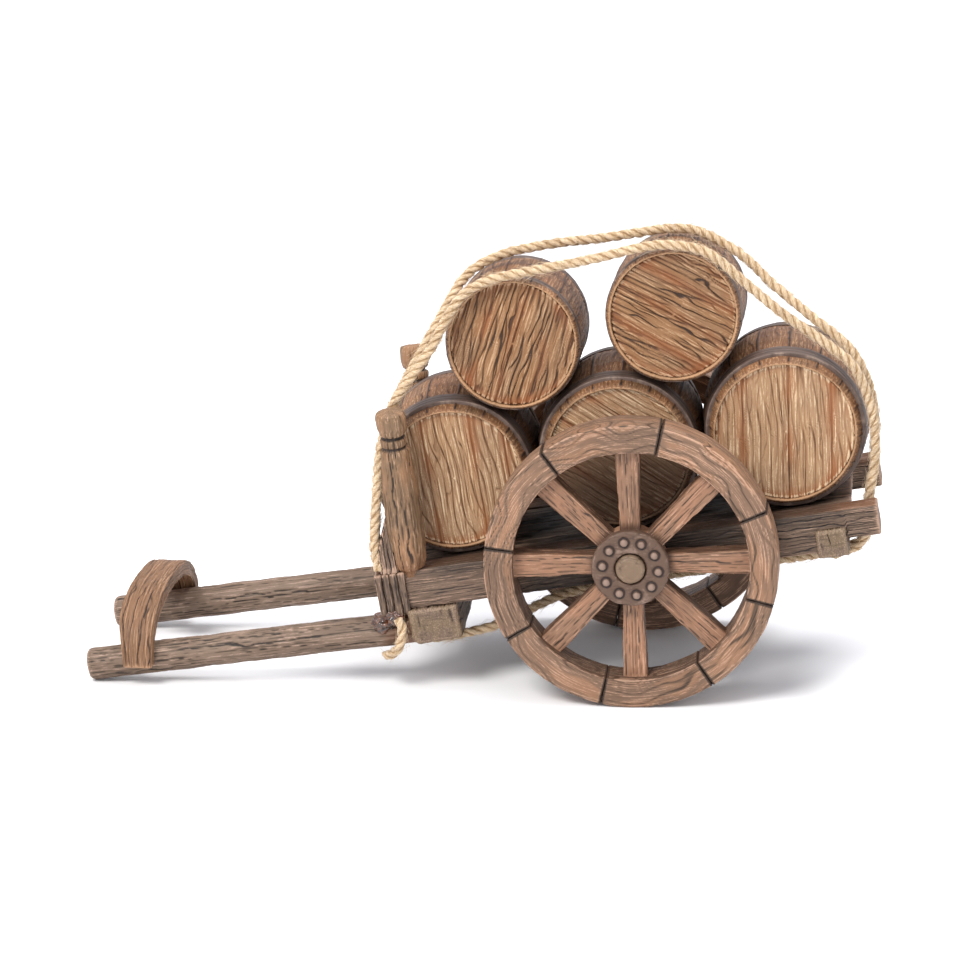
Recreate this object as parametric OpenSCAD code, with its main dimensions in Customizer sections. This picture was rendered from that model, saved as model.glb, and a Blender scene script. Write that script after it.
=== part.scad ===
// Two-wheeled handcart loaded with five barrels under a lashing, made small as a shelf ornament.
// Millimetres. X runs along the cart with the shafts towards -X, Y runs across it and Z is up.
// The cart stands on its wheels and its shaft tips at Z = 0, with the origin under its middle.
// "Bed frame" means a frame whose origin is the axle's middle and which leans with the bed.

/* [Stance] */
// How far the bed's nose drops, in degrees
bed_pitch = 9.2; // [9:0.1:9.4]
// How far the axle lies behind the middle of the cart
axle_x = 39.8; // [38:0.05:41]

/* [Wheels] */
// Outside radius of a wheel
wheel_r = 37.5; // [37:0.1:38]
// Inside radius of the felloes
rim_in = 30.1; // [29.5:0.1:31]
// Width of the rim
rim_w = 10.2; // [9.8:0.1:10.4]
// Outer face of the rim from the middle of the cart
wheel_face = 36; // [35.8:0.1:37]
// Radius of the hub plate
plate_r = 9.9; // [9.5:0.1:10.5]
// Radius of the axle
axle_r = 2.2; // [1.8:0.1:2.2]

/* [Bed] */
// Width of a side beam
beam_w = 8; // [7:0.5:8]
// Outer face of a side beam from the middle of the cart
beam_face = 25; // [24.5:0.1:25]
// Rear end of the side beams behind the axle
beam_rear = 63.3; // [62:0.1:64]
// Thickness of the floor boards
board_t = 1; // [0.8:0.1:1]

/* [Shafts] */
// Radius of a round shaft
shaft_r = 4.15; // [4:0.05:4.2]
// Distance between the two shafts
shaft_gap = 43.2; // [42:0.2:44]
// Tip of the shafts ahead of the axle
shaft_reach = 142.2; // [140:0.2:144]
// Rise of the shafts from the ground, in degrees
shaft_rise = 7.9; // [7.8:0.1:8]

/* [Barrels] */
// Distance between the barrels of the bottom row
barrel_gap = 43; // [42.8:0.1:43.4]
// Radius of a bottom barrel at its ends
low_r = 18.6; // [18.2:0.1:18.8]
// Length of a bottom barrel
low_len = 36.4; // [35:0.2:36.6]
// Radius of a top barrel at its ends
top_r = 16.9; // [16.7:0.1:16.9]
// Length of a top barrel
top_len = 33; // [32:0.2:33]

/* [Hidden] */

$fn = 64;
eps = 0.01;        // overshoot of a cutting tool
fit = 0.03;        // radial play of a fixed peg or tenon
run = 0.05;        // radial play of a turning bore
seam = 0.12;       // open joint between two boards or staves
left = -1;         // the near side, towards -Y
right = 1;         // the far side

frame_brown = [0.36, 0.28, 0.23];
rim_tan = [0.55, 0.43, 0.35];
spoke_tan = [0.56, 0.42, 0.34];
hub_brown = [0.42, 0.34, 0.28];
yoke_orange = [0.60, 0.42, 0.27];
stave_brown = [0.50, 0.34, 0.23];
head_tan = [0.72, 0.55, 0.38];
hoop_grey = [0.27, 0.24, 0.23];
twine = [0.76, 0.63, 0.45];
glue_amber = [0.45, 0.28, 0.12];

// bed
beam_mid = beam_face - beam_w / 2;
beam_in = beam_face - beam_w;
beam_top = 3.9;
beam_low = -6.3;
beam_front = -67;
tail_low = -3.6;               // underside of the beam's tail
rear_bar = [46.6, 54.6];       // rear crossbar, front and back face
rear_bar_z = [-7.8, -0.3];     // rear crossbar, underside and top
rear_bar_half = 26.4;
front_bar_half = 26.6;
front_bar_back = -46.8;
front_bar_front = -60;
peg_r = 1.2;
front_peg_x = -50.5;
rear_peg_x = 50.6;
floor_top = 3.4;
floor_low = floor_top - board_t;
board_n = 5;
board_pitch = 2 * beam_in / board_n;
floor_front = -66;
floor_rear = 56.5;
bearer_x = [-30, 28];
bearer_w = 4;

// wheel, seen along its axle from outside
nave_r = 8.8;
nave_back = 10.25;             // depth of the nave's back behind the rim face
plate_back = 1.2;              // depth of the hub plate's back behind the rim face
plate_front = 1.2;             // how far the plate stands proud of the rim face
plate_hole = 4.15;
cap_r = 3.8;
cap_front = 2;
cap_back = 1;
axle_half = wheel_face + 0.6;
spoke_n = 8;
spoke_w = 6.2;
spoke_t = 5.6;
spoke_front = 3;               // depth of the spokes' front behind the rim face
spoke_turn = 2;                // turn of the first spoke above level
tenon_r = 1.2;
tenon_in = 2.6;
felloe_joints = [24, 78, 127, 173, 212, 258, 304, 345];
nail_n = 10;
nail_ring = 7.1;
nail_r = 1.1;
nail_shank = 0.45;
nail_depth = 3;
washer_r = 5.2;
washer_t = 0.65;

// shafts
shaft_end = 85.2;              // length of a shaft as far as the crossbar
shaft_tenon_r = 2.4;
shaft_tenon = 8;
shaft_chamfer = 0.6;
shaft_tip_z = shaft_r * cos(shaft_rise);

// yoke, an arch across both shafts
yoke_mid = 14.9;               // middle of the band behind the shaft tips
yoke_w = 9.6;
yoke_foot = 5.4;               // height of the feet
yoke_out = [28.4, 17.2];       // half width and rise of the outer curve
yoke_in = [24.9, 13.4];        // half width and rise of the inner curve
yoke_square = 2.5;             // 2 is an ellipse, more is squarer
yoke_turn = -4.2;              // the band lies a little askew across the shafts
yoke_lean = 2.2;               // how far the front of each foot is cut back
yoke_steps = 20;

// stakes
stake_x = -57.4;
stake_y = 23;
stake_lean = [7.6, 10];        // outward lean of the left and the right stake
stake_back = 3.7;              // lean towards the rear
stake_lift = [0, 1.8];         // extra height of the left and the right stake
stake_tenon_r = 1.5;
stake_body_r = 4.75;
stake_tenon = 5;
// radius and height of each ring of the turned stake, from its foot up
stake_rings = [
    [0, -2], [2.2, -2], [2.4, 0], [3.6, 0.9], [4.3, 2.8], [stake_body_r, 11], [4.7, 20], [4.1, 29], [3.7, 34],
    [3.1, 34.3], [3.1, 34.7], [3.4, 35], [3.35, 37], [2.9, 37.3], [2.9, 37.6], [3.4, 38],
    [3.85, 40], [3.9, 43], [3.4, 44], [0, 44]];

// binding round the front end of each beam
bind_n = 4;
bind_pitch = 2;
bind_x = -66.9;
bind_t = 1.1;
crossbar_clear = -60.1;

// barrels: middle in the bed frame, tilt of the near end, and the turn of the head boards
belly = 2.1;                   // how much fatter a bottom barrel is in its middle
top_belly = 0.35;
low_z = 24.15;
low_y = 1;
top_z = [56.2, 57.2];
top_y = -0.7;
top_x = [-22.2, 19.4];
top_tilt = [3.5, 4.6];
stave_t = [1.2, 1.7];          // stave thickness, bottom and top barrels
low_stave_n = 16;
top_stave_n = 14;
head_t = 1.6;
head_in = 1.1;                 // how deep a head sits inside its chime
hoop_w = [4, 3];
hoop_t = [[0.7, 0.35], [0.15, 0.15]]; // a hoop's thickness at its outer and its inner edge
hoop_in = [3, 1.6];            // hoop edge from the end of the barrel

// rope, routes in the bed frame
rope_r = 1.5;
rope_sides = 8;
near_route = [
    [-66.5, -25, 5.2], [-66.6, -25, 11], [-65, -25, 19], [-62.4, -25, 29.5], [-60.2, -24.6, 36.5],
    [-57.4, -23.6, 43], [-54, -23, 48], [-48, -22, 54.5], [-42.3, -21, 60.3], [-37.3, -19.8, 67],
    [-32.8, -18.6, 71.8], [-28, -18.3, 74.3], [-22.2, -18.3, 75.4], [-15.5, -17.8, 75.7],
    [-7, -17.2, 75.9], [3.5, -16.9, 76.4], [13.4, -16.7, 77.3], [20.4, -16.6, 77.1],
    [28.3, -16.6, 74.8], [33.2, -16.6, 71], [37.4, -16.6, 66], [46.7, -16.8, 55.3],
    [57.3, -17, 45], [62.7, -17, 38.2], [65.3, -16.4, 26.6], [64.2, -15.8, 14],
    [61.4, -15.5, 4.5], [60.6, -15.5, -1]];
far_route = [
    [-66.5, -21.8, 5.2], [-66.6, -21.8, 11], [-65.2, -21.8, 19], [-62.8, -21.8, 29.5],
    [-60.8, -21.2, 36.5], [-57.2, -20.2, 44], [-52.2, -18.8, 50.2], [-42.8, -14, 62],
    [-37.3, -7.6, 68.8], [-33.8, -1.6, 72.2], [-30, 2, 74.3], [-25, 3.6, 75.7], [-19, 4.6, 76.4],
    [-8, 5, 76.6], [2, 5, 76.2], [12, 5, 76.2], [21, 5, 76], [28.4, 4, 74], [37.8, 1, 67.3],
    [44.5, -3, 59.8], [53, -8, 51.4], [61.4, -11.5, 43], [64.8, -12.8, 35], [65.6, -13, 25.5],
    [63.9, -12.4, 13], [61.2, -12.4, 4], [60.2, -12.4, -3.5], [57.4, -12.4, -8.4],
    [52.5, -12.4, -9.5]];
under_route = [
    [-65, -15.6, -9.6], [-64.2, -15.6, -13.5], [-61, -15.8, -16.8], [-56, -16, -17.6],
    [-46.4, -16, -17.4], [-38.4, -15, -16.6], [-29, -13.8, -13.8], [-20, -13.2, -11.4],
    [-6, -13.2, -10.4], [12, -14, -9.9], [32, -14.8, -9.7], [48, -15.4, -9.5], [55, -15.5, -9.2],
    [58.8, -15.5, -6], [60.6, -15.5, -1.1]];
tail_route = [
    [-62.4, -26.6, -8], [-61.8, -27.5, -10.5], [-62.4, -27.8, -13.2], [-64, -27.2, -15.9],
    [-66.2, -25.4, -17.6], [-67.8, -23.2, -18.2]];
front_knot = [-65, -24.2, -9.6];
front_knot_r = 3;
rear_knot = [50.4, -12.4, -9.9];
rear_knot_r = 2.5;

// frames

module on_bed() {
    translate([axle_x, 0, wheel_r]) rotate([0, -bed_pitch, 0]) children();
}

// the rim's outer face, X along the cart, Y up and Z out of the wheel
module on_wheel(side) {
    if (side == left) {
        translate([axle_x, -wheel_face, wheel_r]) rotate([90, 0, 0]) children();
    } else {
        mirror([0, 1, 0]) translate([axle_x, -wheel_face, wheel_r]) rotate([90, 0, 0]) children();
    }
}

// a shaft's tip, X along the shaft towards the cart
module on_shaft(side) {
    translate([axle_x - shaft_reach, side * shaft_gap / 2, shaft_tip_z])
        rotate([0, -shaft_rise, 0]) children();
}

// an outline in X and Z, drawn across the cart from y0 to y1
module across(y0, y1) {
    translate([0, y1, 0]) rotate([90, 0, 0]) linear_extrude(y1 - y0) children();
}

module rod_y(r, y0, y1) {
    translate([0, y0, 0]) rotate([-90, 0, 0]) cylinder(r = r, h = y1 - y0);
}

module rod_x(r, x0, x1) {
    translate([x0, 0, 0]) rotate([0, 90, 0]) cylinder(r = r, h = x1 - x0);
}

module block(x, y, z) {
    translate([x[0], y[0], z[0]]) cube([x[1] - x[0], y[1] - y[0], z[1] - z[0]]);
}

// bed

function lean(side) = side * (side == left ? stake_lean[0] : stake_lean[1]);

module stake_place(side) {
    translate([stake_x, side * stake_y, beam_top]) rotate([-lean(side), stake_back, 0])
        children();
}

module peg_places() {
    for (side = [left, right]) {
        translate([front_peg_x, side * beam_mid, 0]) children(0);
        translate([rear_peg_x, side * beam_mid, 0]) children(1);
    }
}

module front_peg(r) {
    translate([0, 0, -9]) cylinder(r = r, h = 10);
}

module rear_peg(r) {
    translate([0, 0, -5.5]) cylinder(r = r, h = 7.5);
}

module side_beam(side) {
    y0 = min(side * beam_in, side * beam_face);
    color(frame_brown) on_bed() difference() {
        across(y0, y0 + beam_w) polygon([
            [beam_front, beam_low], [rear_bar[0], beam_low], [rear_bar[0], rear_bar_z[1]],
            [rear_bar[1], rear_bar_z[1]], [rear_bar[1], tail_low], [beam_rear, tail_low],
            [beam_rear, beam_top], [beam_front, beam_top]]);
        rod_y(axle_r + fit, y0 - 1, y0 + beam_w + 1);
        stake_place(side) translate([0, 0, -stake_tenon])
            cylinder(r = stake_tenon_r + fit, h = stake_tenon + 1);
        peg_places() {
            front_peg(peg_r + fit);
            rear_peg(peg_r + fit);
        }
    }
}

module front_crossbar() {
    color(frame_brown) difference() {
        on_bed() difference() {
            across(-front_bar_half, front_bar_half) polygon([
                [front_bar_front, beam_low], [front_bar_back, beam_low],
                [front_bar_back, -15.4], [-58.4, -15.8], [front_bar_front, -14]]);
            peg_places() {
                front_peg(peg_r + fit);
                rear_peg(peg_r + fit);
            }
        }
        for (side = [left, right]) on_shaft(side)
            rod_x(shaft_tenon_r + fit, shaft_end - 1, shaft_end + shaft_tenon + 0.1);
    }
}

module rear_crossbar() {
    color(frame_brown) on_bed() difference() {
        block(rear_bar, [-rear_bar_half, rear_bar_half], rear_bar_z);
        peg_places() {
            front_peg(peg_r + fit);
            rear_peg(peg_r + fit);
        }
    }
}

module crossbar_pegs() {
    color(rim_tan) on_bed() peg_places() {
        front_peg(peg_r);
        rear_peg(peg_r);
    }
}

module axle_bolster() {
    color(frame_brown) on_bed() difference() {
        block([-5, 5], [-beam_in, beam_in], [beam_low, floor_low]);
        rod_y(axle_r + fit, -beam_in - 1, beam_in + 1);
    }
}

module floor_bearers() {
    color(frame_brown) on_bed() for (x = bearer_x)
        block([x - bearer_w / 2, x + bearer_w / 2], [-beam_in, beam_in], [-2, floor_low]);
}

module floor_boards() {
    color(frame_brown) on_bed() for (i = [0:board_n - 1]) {
        y0 = -beam_in + i * board_pitch;
        block([floor_front, floor_rear], [y0 + seam / 2, y0 + board_pitch - seam / 2],
            [floor_low, floor_top]);
    }
}

// axle

module axle() {
    color(hub_brown) translate([axle_x, 0, wheel_r]) rod_y(axle_r, -axle_half, axle_half);
}

module axle_cap(side) {
    color(hub_brown) on_wheel(side) difference() {
        rotate_extrude() polygon([
            [0, -cap_back], [cap_r, -cap_back], [cap_r, cap_front - 0.6],
            [cap_r - 0.6, cap_front], [0, cap_front]]);
        translate([0, 0, -cap_back - 1]) cylinder(r = axle_r + fit, h = 1 + cap_back + 0.65);
    }
}

module thrust_washer(side) {
    y0 = side == left ? -beam_face - washer_t : beam_face;
    color(hub_brown) translate([axle_x, 0, wheel_r]) difference() {
        rod_y(washer_r, y0, y0 + washer_t);
        rod_y(axle_r + fit, y0 - 1, y0 + washer_t + 1);
    }
}

// wheels

module spoke_places() {
    for (i = [0:spoke_n - 1]) rotate([0, 0, spoke_turn + i * 360 / spoke_n]) children();
}

module spoke_tenons(r) {
    translate([0, 0, -spoke_front - spoke_t / 2]) spoke_places()
        rod_x(r, nave_r - tenon_in, rim_in + tenon_in);
}

module nail_places() {
    for (i = [0:nail_n - 1]) rotate([0, 0, -5 + i * 360 / nail_n]) translate([nail_ring, 0, 0])
        children();
}

module nave(side) {
    color(hub_brown) on_wheel(side) difference() {
        translate([0, 0, -nave_back]) cylinder(r = nave_r, h = nave_back - plate_back);
        translate([0, 0, -nave_back - 1]) cylinder(r = axle_r + run, h = nave_back + 2);
        spoke_tenons(tenon_r + fit);
        nail_places() translate([0, 0, plate_front - nail_depth - 1])
            cylinder(r = nail_shank + fit, h = nail_depth);
    }
}

module spokes(side) {
    color(spoke_tan) on_wheel(side) {
        difference() {
            spoke_places() block([nave_r - 1, rim_in + 1], [-spoke_w / 2, spoke_w / 2],
                [-spoke_front - spoke_t, -spoke_front]);
            translate([0, 0, -rim_w]) cylinder(r = nave_r, h = rim_w);
            translate([0, 0, -rim_w]) difference() {
                cylinder(r = rim_in + 3, h = rim_w);
                translate([0, 0, -eps]) cylinder(r = rim_in, h = rim_w + 2 * eps);
            }
        }
        spoke_tenons(tenon_r);
    }
}

module felloes(side) {
    color(rim_tan) on_wheel(side) difference() {
        translate([0, 0, -rim_w]) cylinder(r = wheel_r, h = rim_w);
        translate([0, 0, -rim_w - 1]) cylinder(r = rim_in, h = rim_w + 2);
        for (a = felloe_joints) rotate([0, 0, a])
            block([rim_in - 1, wheel_r + 1], [-seam, seam], [-rim_w - 1, 1]);
        spoke_tenons(tenon_r + fit);
    }
}

module hub_plate(side) {
    color(hub_brown) on_wheel(side) difference() {
        rotate_extrude() polygon([
            [plate_hole, -plate_back], [plate_r, -plate_back], [plate_r, plate_front - 0.4],
            [plate_r - 0.4, plate_front], [plate_hole, plate_front]]);
        nail_places() translate([0, 0, plate_front - nail_depth - 1])
            cylinder(r = nail_shank + fit, h = nail_depth + 2);
    }
}

module hub_nails(side) {
    color(hub_brown) on_wheel(side) nail_places() {
        translate([0, 0, plate_front - nail_depth]) cylinder(r = nail_shank, h = nail_depth + 0.2);
        difference() {
            translate([0, 0, plate_front - 0.35]) sphere(r = nail_r);
            translate([-2, -2, plate_front - 4]) cube(4);
        }
    }
}

// shafts and yoke

module shaft(side) {
    color(frame_brown) on_shaft(side) rotate([0, 90, 0]) rotate_extrude() polygon([
        [0, 0], [shaft_r - shaft_chamfer, 0], [shaft_r, shaft_chamfer], [shaft_r, shaft_end],
        [shaft_tenon_r, shaft_end], [shaft_tenon_r, shaft_end + shaft_tenon],
        [0, shaft_end + shaft_tenon]]);
}

function rounded(a, size) = [
    size[0] * sign(cos(a)) * pow(abs(cos(a)), 2 / yoke_square),
    yoke_foot + size[1] * pow(abs(sin(a)), 2 / yoke_square)];

module yoke() {
    arch = concat(
        [for (i = [0:yoke_steps]) rounded(i * 180 / yoke_steps, yoke_out)],
        [for (i = [yoke_steps:-1:0]) rounded(i * 180 / yoke_steps, yoke_in)]);
    color(yoke_orange) difference() {
        translate([axle_x - shaft_reach + yoke_mid, 0, 0]) rotate([0, 0, yoke_turn])
            translate([-yoke_w / 2, 0, 0]) rotate([90, 0, 90]) linear_extrude(yoke_w) polygon(arch);
        for (side = [left, right]) on_shaft(side) rod_x(shaft_r + fit, -5, 40);
        // the front face slopes back towards the feet
        translate([axle_x - shaft_reach + yoke_mid - yoke_w / 2, 0, 0]) rotate([0, 0, yoke_turn])
            across(-40, 40) polygon([[-6, 0], [yoke_lean, 0], [yoke_lean, yoke_foot], [0, 20], [-6, 20]]);
    }
}

// stakes and their footing

module stake(side) {
    color(frame_brown) on_bed() stake_place(side) {
        difference() {
            translate([0, 0, side == left ? stake_lift[0] : stake_lift[1]])
                rotate_extrude() polygon(stake_rings);
            // the foot is cut level with the top of the beam
            rotate([0, -stake_back, 0]) rotate([lean(side), 0, 0])
                translate([-10, -10, -20]) cube(20);
        }
        translate([0, 0, -stake_tenon + 0.3]) cylinder(r = stake_tenon_r, h = stake_tenon + 1);
    }
}

module stake_cheek(side) {
    y = side == left ? [-26.2, -20.4] : [20.4, 26.2];
    color(frame_brown) on_bed() difference() {
        across(y[0], y[1]) polygon([
            [-65, beam_top], [-60.3, beam_top], [-60.3, 18.6], [-61.2, 19.2], [-64.6, 10.5]]);
        stake_place(side) translate([0, 0, -3]) cylinder(r = stake_body_r + fit, h = 30);
    }
}

module beam_binding(side) {
    y0 = min(side * beam_in, side * beam_face);
    color(frame_brown) on_bed() for (i = [0:bind_n - 1]) {
        x0 = bind_x + i * bind_pitch;
        difference() {
            block([x0 + seam / 2, x0 + bind_pitch - seam / 2],
                [y0 + (side == left ? -bind_t : 0), y0 + beam_w + (side == left ? 0 : bind_t)],
                [beam_low - bind_t + 0.1, beam_top + (i == 0 ? 0 : eps)]);
            block([x0 - 1, x0 + bind_pitch + 1], [y0, y0 + beam_w], [beam_low, beam_top + 1]);
            // clear of the front crossbar
            block([crossbar_clear, -40], [-30, 30], [-20, beam_low]);
        }
    }
}

// barrels, built along Z with the near end up

module barrel_place(k) {
    if (k < 3) {
        on_bed() translate([-0.3 + (k - 1) * barrel_gap, low_y, low_z]) rotate([90, 0, 0])
            children();
    } else {
        on_bed() translate([top_x[k - 3], top_y, top_z[k - 3]]) rotate([90 - top_tilt[k - 3], 0, 0])
            children();
    }
}

function end_r(k) = k < 3 ? low_r : top_r;
function bulge(k) = k < 3 ? belly : top_belly;
function half(k) = (k < 3 ? low_len : top_len) / 2;
function kind(k) = k < 3 ? 0 : 1;

module barrel_staves(k) {
    r = end_r(k);
    b = bulge(k);
    h = half(k);
    t = stave_t[kind(k)];
    n = k < 3 ? low_stave_n : top_stave_n;
    color(stave_brown) barrel_place(k) difference() {
        rotate_extrude() polygon([
            [r - t, -h], [r, -h], [r + b * 0.62, -h * 0.66], [r + b, -h * 0.25],
            [r + b, h * 0.25], [r + b * 0.62, h * 0.66], [r, h], [r - t, h],
            [r + b - t, h * 0.4], [r + b - t, -h * 0.4]]);
        for (i = [0:n - 1]) rotate([0, 0, (i + 0.5) * 360 / n])
            block([0, r + 5], [-seam / 2, seam / 2], [-h - 1, h + 1]);
    }
}

// boards run along the local Y, and turn is how far they lean from upright
module barrel_head(k, end, seams, turn) {
    r = end_r(k) - stave_t[kind(k)] - seam / 2;
    z0 = end * (half(k) - head_in) + (end > 0 ? -head_t : 0);
    color(head_tan) barrel_place(k) difference() {
        translate([0, 0, z0]) cylinder(r = r, h = head_t);
        rotate([0, 0, turn]) for (x = seams)
            block([x - seam / 2, x + seam / 2], [-r - 1, r + 1], [z0 - 1, z0 + head_t + 1]);
    }
}

// outer radius of the staves at a distance from the end of the barrel
function bend(k) = half(k) * 0.34;
function wall(k, d) = end_r(k) + (d < bend(k) ? bulge(k) * 0.62 * d / bend(k)
    : bulge(k) * (0.62 + 0.38 * (d - bend(k)) / (half(k) * 0.75 - bend(k))));

module barrel_hoops(k) {
    h = half(k);
    from = hoop_in[kind(k)];
    to = from + hoop_w[kind(k)];
    t = hoop_t[kind(k)];
    r0 = wall(k, from) + fit;
    r1 = wall(k, to) + fit;
    fold = bend(k) > from && bend(k) < to ? [[wall(k, bend(k)) + fit, h - bend(k)]] : [];
    color(hoop_grey) barrel_place(k) for (end = [0, 1]) mirror([0, 0, end])
        rotate_extrude() polygon(concat(
            [[r0, h - from], [r0 + t[0], h - from], [r1 + t[1], h - to], [r1, h - to]], fold));
}

// rope

function unit(v) = v / norm(v);
function heading(p, i) = unit(p[min(i + 1, len(p) - 1)] - p[max(i - 1, 0)]);
function ring(p, i) =
    let (t = heading(p, i), a = unit(cross([0, 1, 0], t)), b = cross(t, a))
    [for (k = [0:rope_sides - 1]) let (q = k * 360 / rope_sides)
        p[i] + rope_r * (cos(q) * a + sin(q) * b)];

module rope_tube(p) {
    n = len(p);
    s = rope_sides;
    color(twine) on_bed() polyhedron(
        points = [for (i = [0:n - 1]) each ring(p, i)],
        faces = concat(
            [[for (k = [0:s - 1]) k]],
            [for (i = [0:n - 2], k = [0:s - 1])
                [i * s + k, (i + 1) * s + k, (i + 1) * s + (k + 1) % s, i * s + (k + 1) % s]],
            [[for (k = [s - 1:-1:0]) (n - 1) * s + k]]));
}

module knot(c, r) {
    color(glue_amber) on_bed() translate(c) sphere(r = r);
}

side_beam(left);  // side_beam_left
side_beam(right);  // side_beam_right
front_crossbar();
rear_crossbar();
crossbar_pegs();
axle_bolster();
floor_bearers();
floor_boards();
axle();
axle_cap(left);  // axle_cap_left
axle_cap(right);  // axle_cap_right
thrust_washer(left);  // thrust_washer_left
thrust_washer(right);  // thrust_washer_right
shaft(left);  // shaft_left
shaft(right);  // shaft_right
yoke();
stake(left);  // stake_left
stake(right);  // stake_right
stake_cheek(left);  // stake_cheek_left
stake_cheek(right);  // stake_cheek_right
beam_binding(left);  // beam_binding_left
beam_binding(right);  // beam_binding_right
rope_tube(near_route);  // rope_near_strand
rope_tube(far_route);  // rope_far_strand
rope_tube(under_route);  // rope_under_strand
rope_tube(tail_route);  // rope_tail
knot(front_knot, front_knot_r);  // rope_front_knot
knot(rear_knot, rear_knot_r);  // rope_rear_knot
nave(left);  // nave_left
spokes(left);  // spokes_left
felloes(left);  // felloes_left
hub_plate(left);  // hub_plate_left
hub_nails(left);  // hub_nails_left
nave(right);  // nave_right
spokes(right);  // spokes_right
felloes(right);  // felloes_right
hub_plate(right);  // hub_plate_right
hub_nails(right);  // hub_nails_right
barrel_staves(0);  // front_barrel_staves
barrel_head(0, 1, [-6.1, 6.4, 14.5], 0);  // front_barrel_near_head
barrel_head(0, -1, [-9, 0, 9], 20);  // front_barrel_far_head
barrel_hoops(0);  // front_barrel_hoops
barrel_staves(1);  // middle_barrel_staves
barrel_head(1, 1, [-9, 0, 9], 48);  // middle_barrel_near_head
barrel_head(1, -1, [-9, 0, 9], -30);  // middle_barrel_far_head
barrel_hoops(1);  // middle_barrel_hoops
barrel_staves(2);  // rear_barrel_staves
barrel_head(2, 1, [-10.8, 0.9, 11.8], -8);  // rear_barrel_near_head
barrel_head(2, -1, [-9, 0, 9], 10);  // rear_barrel_far_head
barrel_hoops(2);  // rear_barrel_hoops
barrel_staves(3);  // top_front_barrel_staves
barrel_head(3, 1, [-8, 0, 8], -26);  // top_front_barrel_near_head
barrel_head(3, -1, [-8, 0, 8], 15);  // top_front_barrel_far_head
barrel_hoops(3);  // top_front_barrel_hoops
barrel_staves(4);  // top_rear_barrel_staves
barrel_head(4, 1, [-8, 0, 8], 52);  // top_rear_barrel_near_head
barrel_head(4, -1, [-8, 0, 8], -20);  // top_rear_barrel_far_head
barrel_hoops(4);  // top_rear_barrel_hoops
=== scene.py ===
# %% [markdown]
# # A handcart loaded with barrels
# This lesson builds the looks of a small hand-painted wooden cart. The exact, measured shape comes from
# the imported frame, and each visible piece is carved again here with its grain, cracks and dry-brushed paint.
# All lengths below are in millimetres, because that suits a piece this small, and turn to metres at the end.

# %% Load the frame
import math

import bpy
import numpy as np
from mathutils import Matrix, Vector


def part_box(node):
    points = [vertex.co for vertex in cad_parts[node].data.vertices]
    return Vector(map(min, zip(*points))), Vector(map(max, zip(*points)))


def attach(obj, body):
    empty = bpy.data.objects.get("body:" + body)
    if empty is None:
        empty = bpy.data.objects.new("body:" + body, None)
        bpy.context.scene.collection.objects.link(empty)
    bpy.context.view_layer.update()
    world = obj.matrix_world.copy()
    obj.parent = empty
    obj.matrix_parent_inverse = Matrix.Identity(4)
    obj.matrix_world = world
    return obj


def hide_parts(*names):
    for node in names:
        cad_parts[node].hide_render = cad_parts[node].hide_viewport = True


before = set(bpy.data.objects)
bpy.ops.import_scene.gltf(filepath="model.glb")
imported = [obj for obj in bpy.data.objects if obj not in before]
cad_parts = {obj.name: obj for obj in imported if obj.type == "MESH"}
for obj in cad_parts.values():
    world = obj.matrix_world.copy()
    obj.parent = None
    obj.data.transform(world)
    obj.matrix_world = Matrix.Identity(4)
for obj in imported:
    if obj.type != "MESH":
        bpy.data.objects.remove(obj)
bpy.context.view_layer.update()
axle_low, axle_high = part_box("axle")
AXLE_X = 500 * (axle_low[0] + axle_high[0])
WHEEL_R = 37.5
WHEEL_FACE = 36.0
PITCH = math.radians(9.2)
LEFT, RIGHT = -1, 1


def sided(part, side):
    return part + ("_left" if side == LEFT else "_right")


# %% [markdown]
# ## The camera
# A long lens a good metre away keeps the two wheels nearly the same size. Its place is worked out from
# the point looked at, given from the axle in millimetres, two angles and a distance.

# %% Camera
TARGET = (-41.2986, 0.0, 49.2254)
AZIMUTH, ELEVATION, ROLL = (math.radians(v) for v in (5.3315, 16.812, -0.6994))
DISTANCE = 1200.0
SENSOR = 36
VIEW_WIDTH = 249.8913
LENS = SENSOR * DISTANCE / VIEW_WIDTH


def aim_camera():
    sa, ca = math.sin(AZIMUTH), math.cos(AZIMUTH)
    se, ce = math.sin(ELEVATION), math.cos(ELEVATION)
    back = Vector((sa * ce, -ca * ce, se))
    right = Vector((ca, sa, 0))
    up = back.cross(right)
    turned_right = right * math.cos(ROLL) + up * math.sin(ROLL)
    turned_up = up * math.cos(ROLL) - right * math.sin(ROLL)
    place = Vector((AXLE_X + TARGET[0], TARGET[1], TARGET[2])) + back * DISTANCE
    data = bpy.data.cameras.new("camera")
    data.lens = LENS
    data.sensor_width = 36
    data.clip_start = 0.05
    data.clip_end = 20
    camera = bpy.data.objects.new("camera", data)
    camera.matrix_world = Matrix([
        [turned_right[i], turned_up[i], back[i], place[i] / 1000] for i in range(3)] + [[0, 0, 0, 1]])
    bpy.context.collection.objects.link(camera)
    bpy.context.scene.camera = camera
    return camera


camera = aim_camera()
print("lens", round(camera.data.lens, 1), "mm")

# %% [markdown]
# ## Light and floor
# The ornament stands on a white sweep in soft studio light. A bright even sky fills the shadows, and one
# large panel in front and above draws the carved grain.

# %% Light and floor
def area_light(name, place, aim, size, power, tint=(1, 1, 1)):
    data = bpy.data.lights.new(name, "AREA")
    data.shape = "DISK"
    data.size = size
    data.energy = power
    data.color = tint
    lamp = bpy.data.objects.new(name, data)
    lamp.location = place
    lamp.rotation_euler = (Vector(aim) - Vector(place)).to_track_quat("-Z", "Y").to_euler()
    bpy.context.collection.objects.link(lamp)
    return lamp


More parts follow.
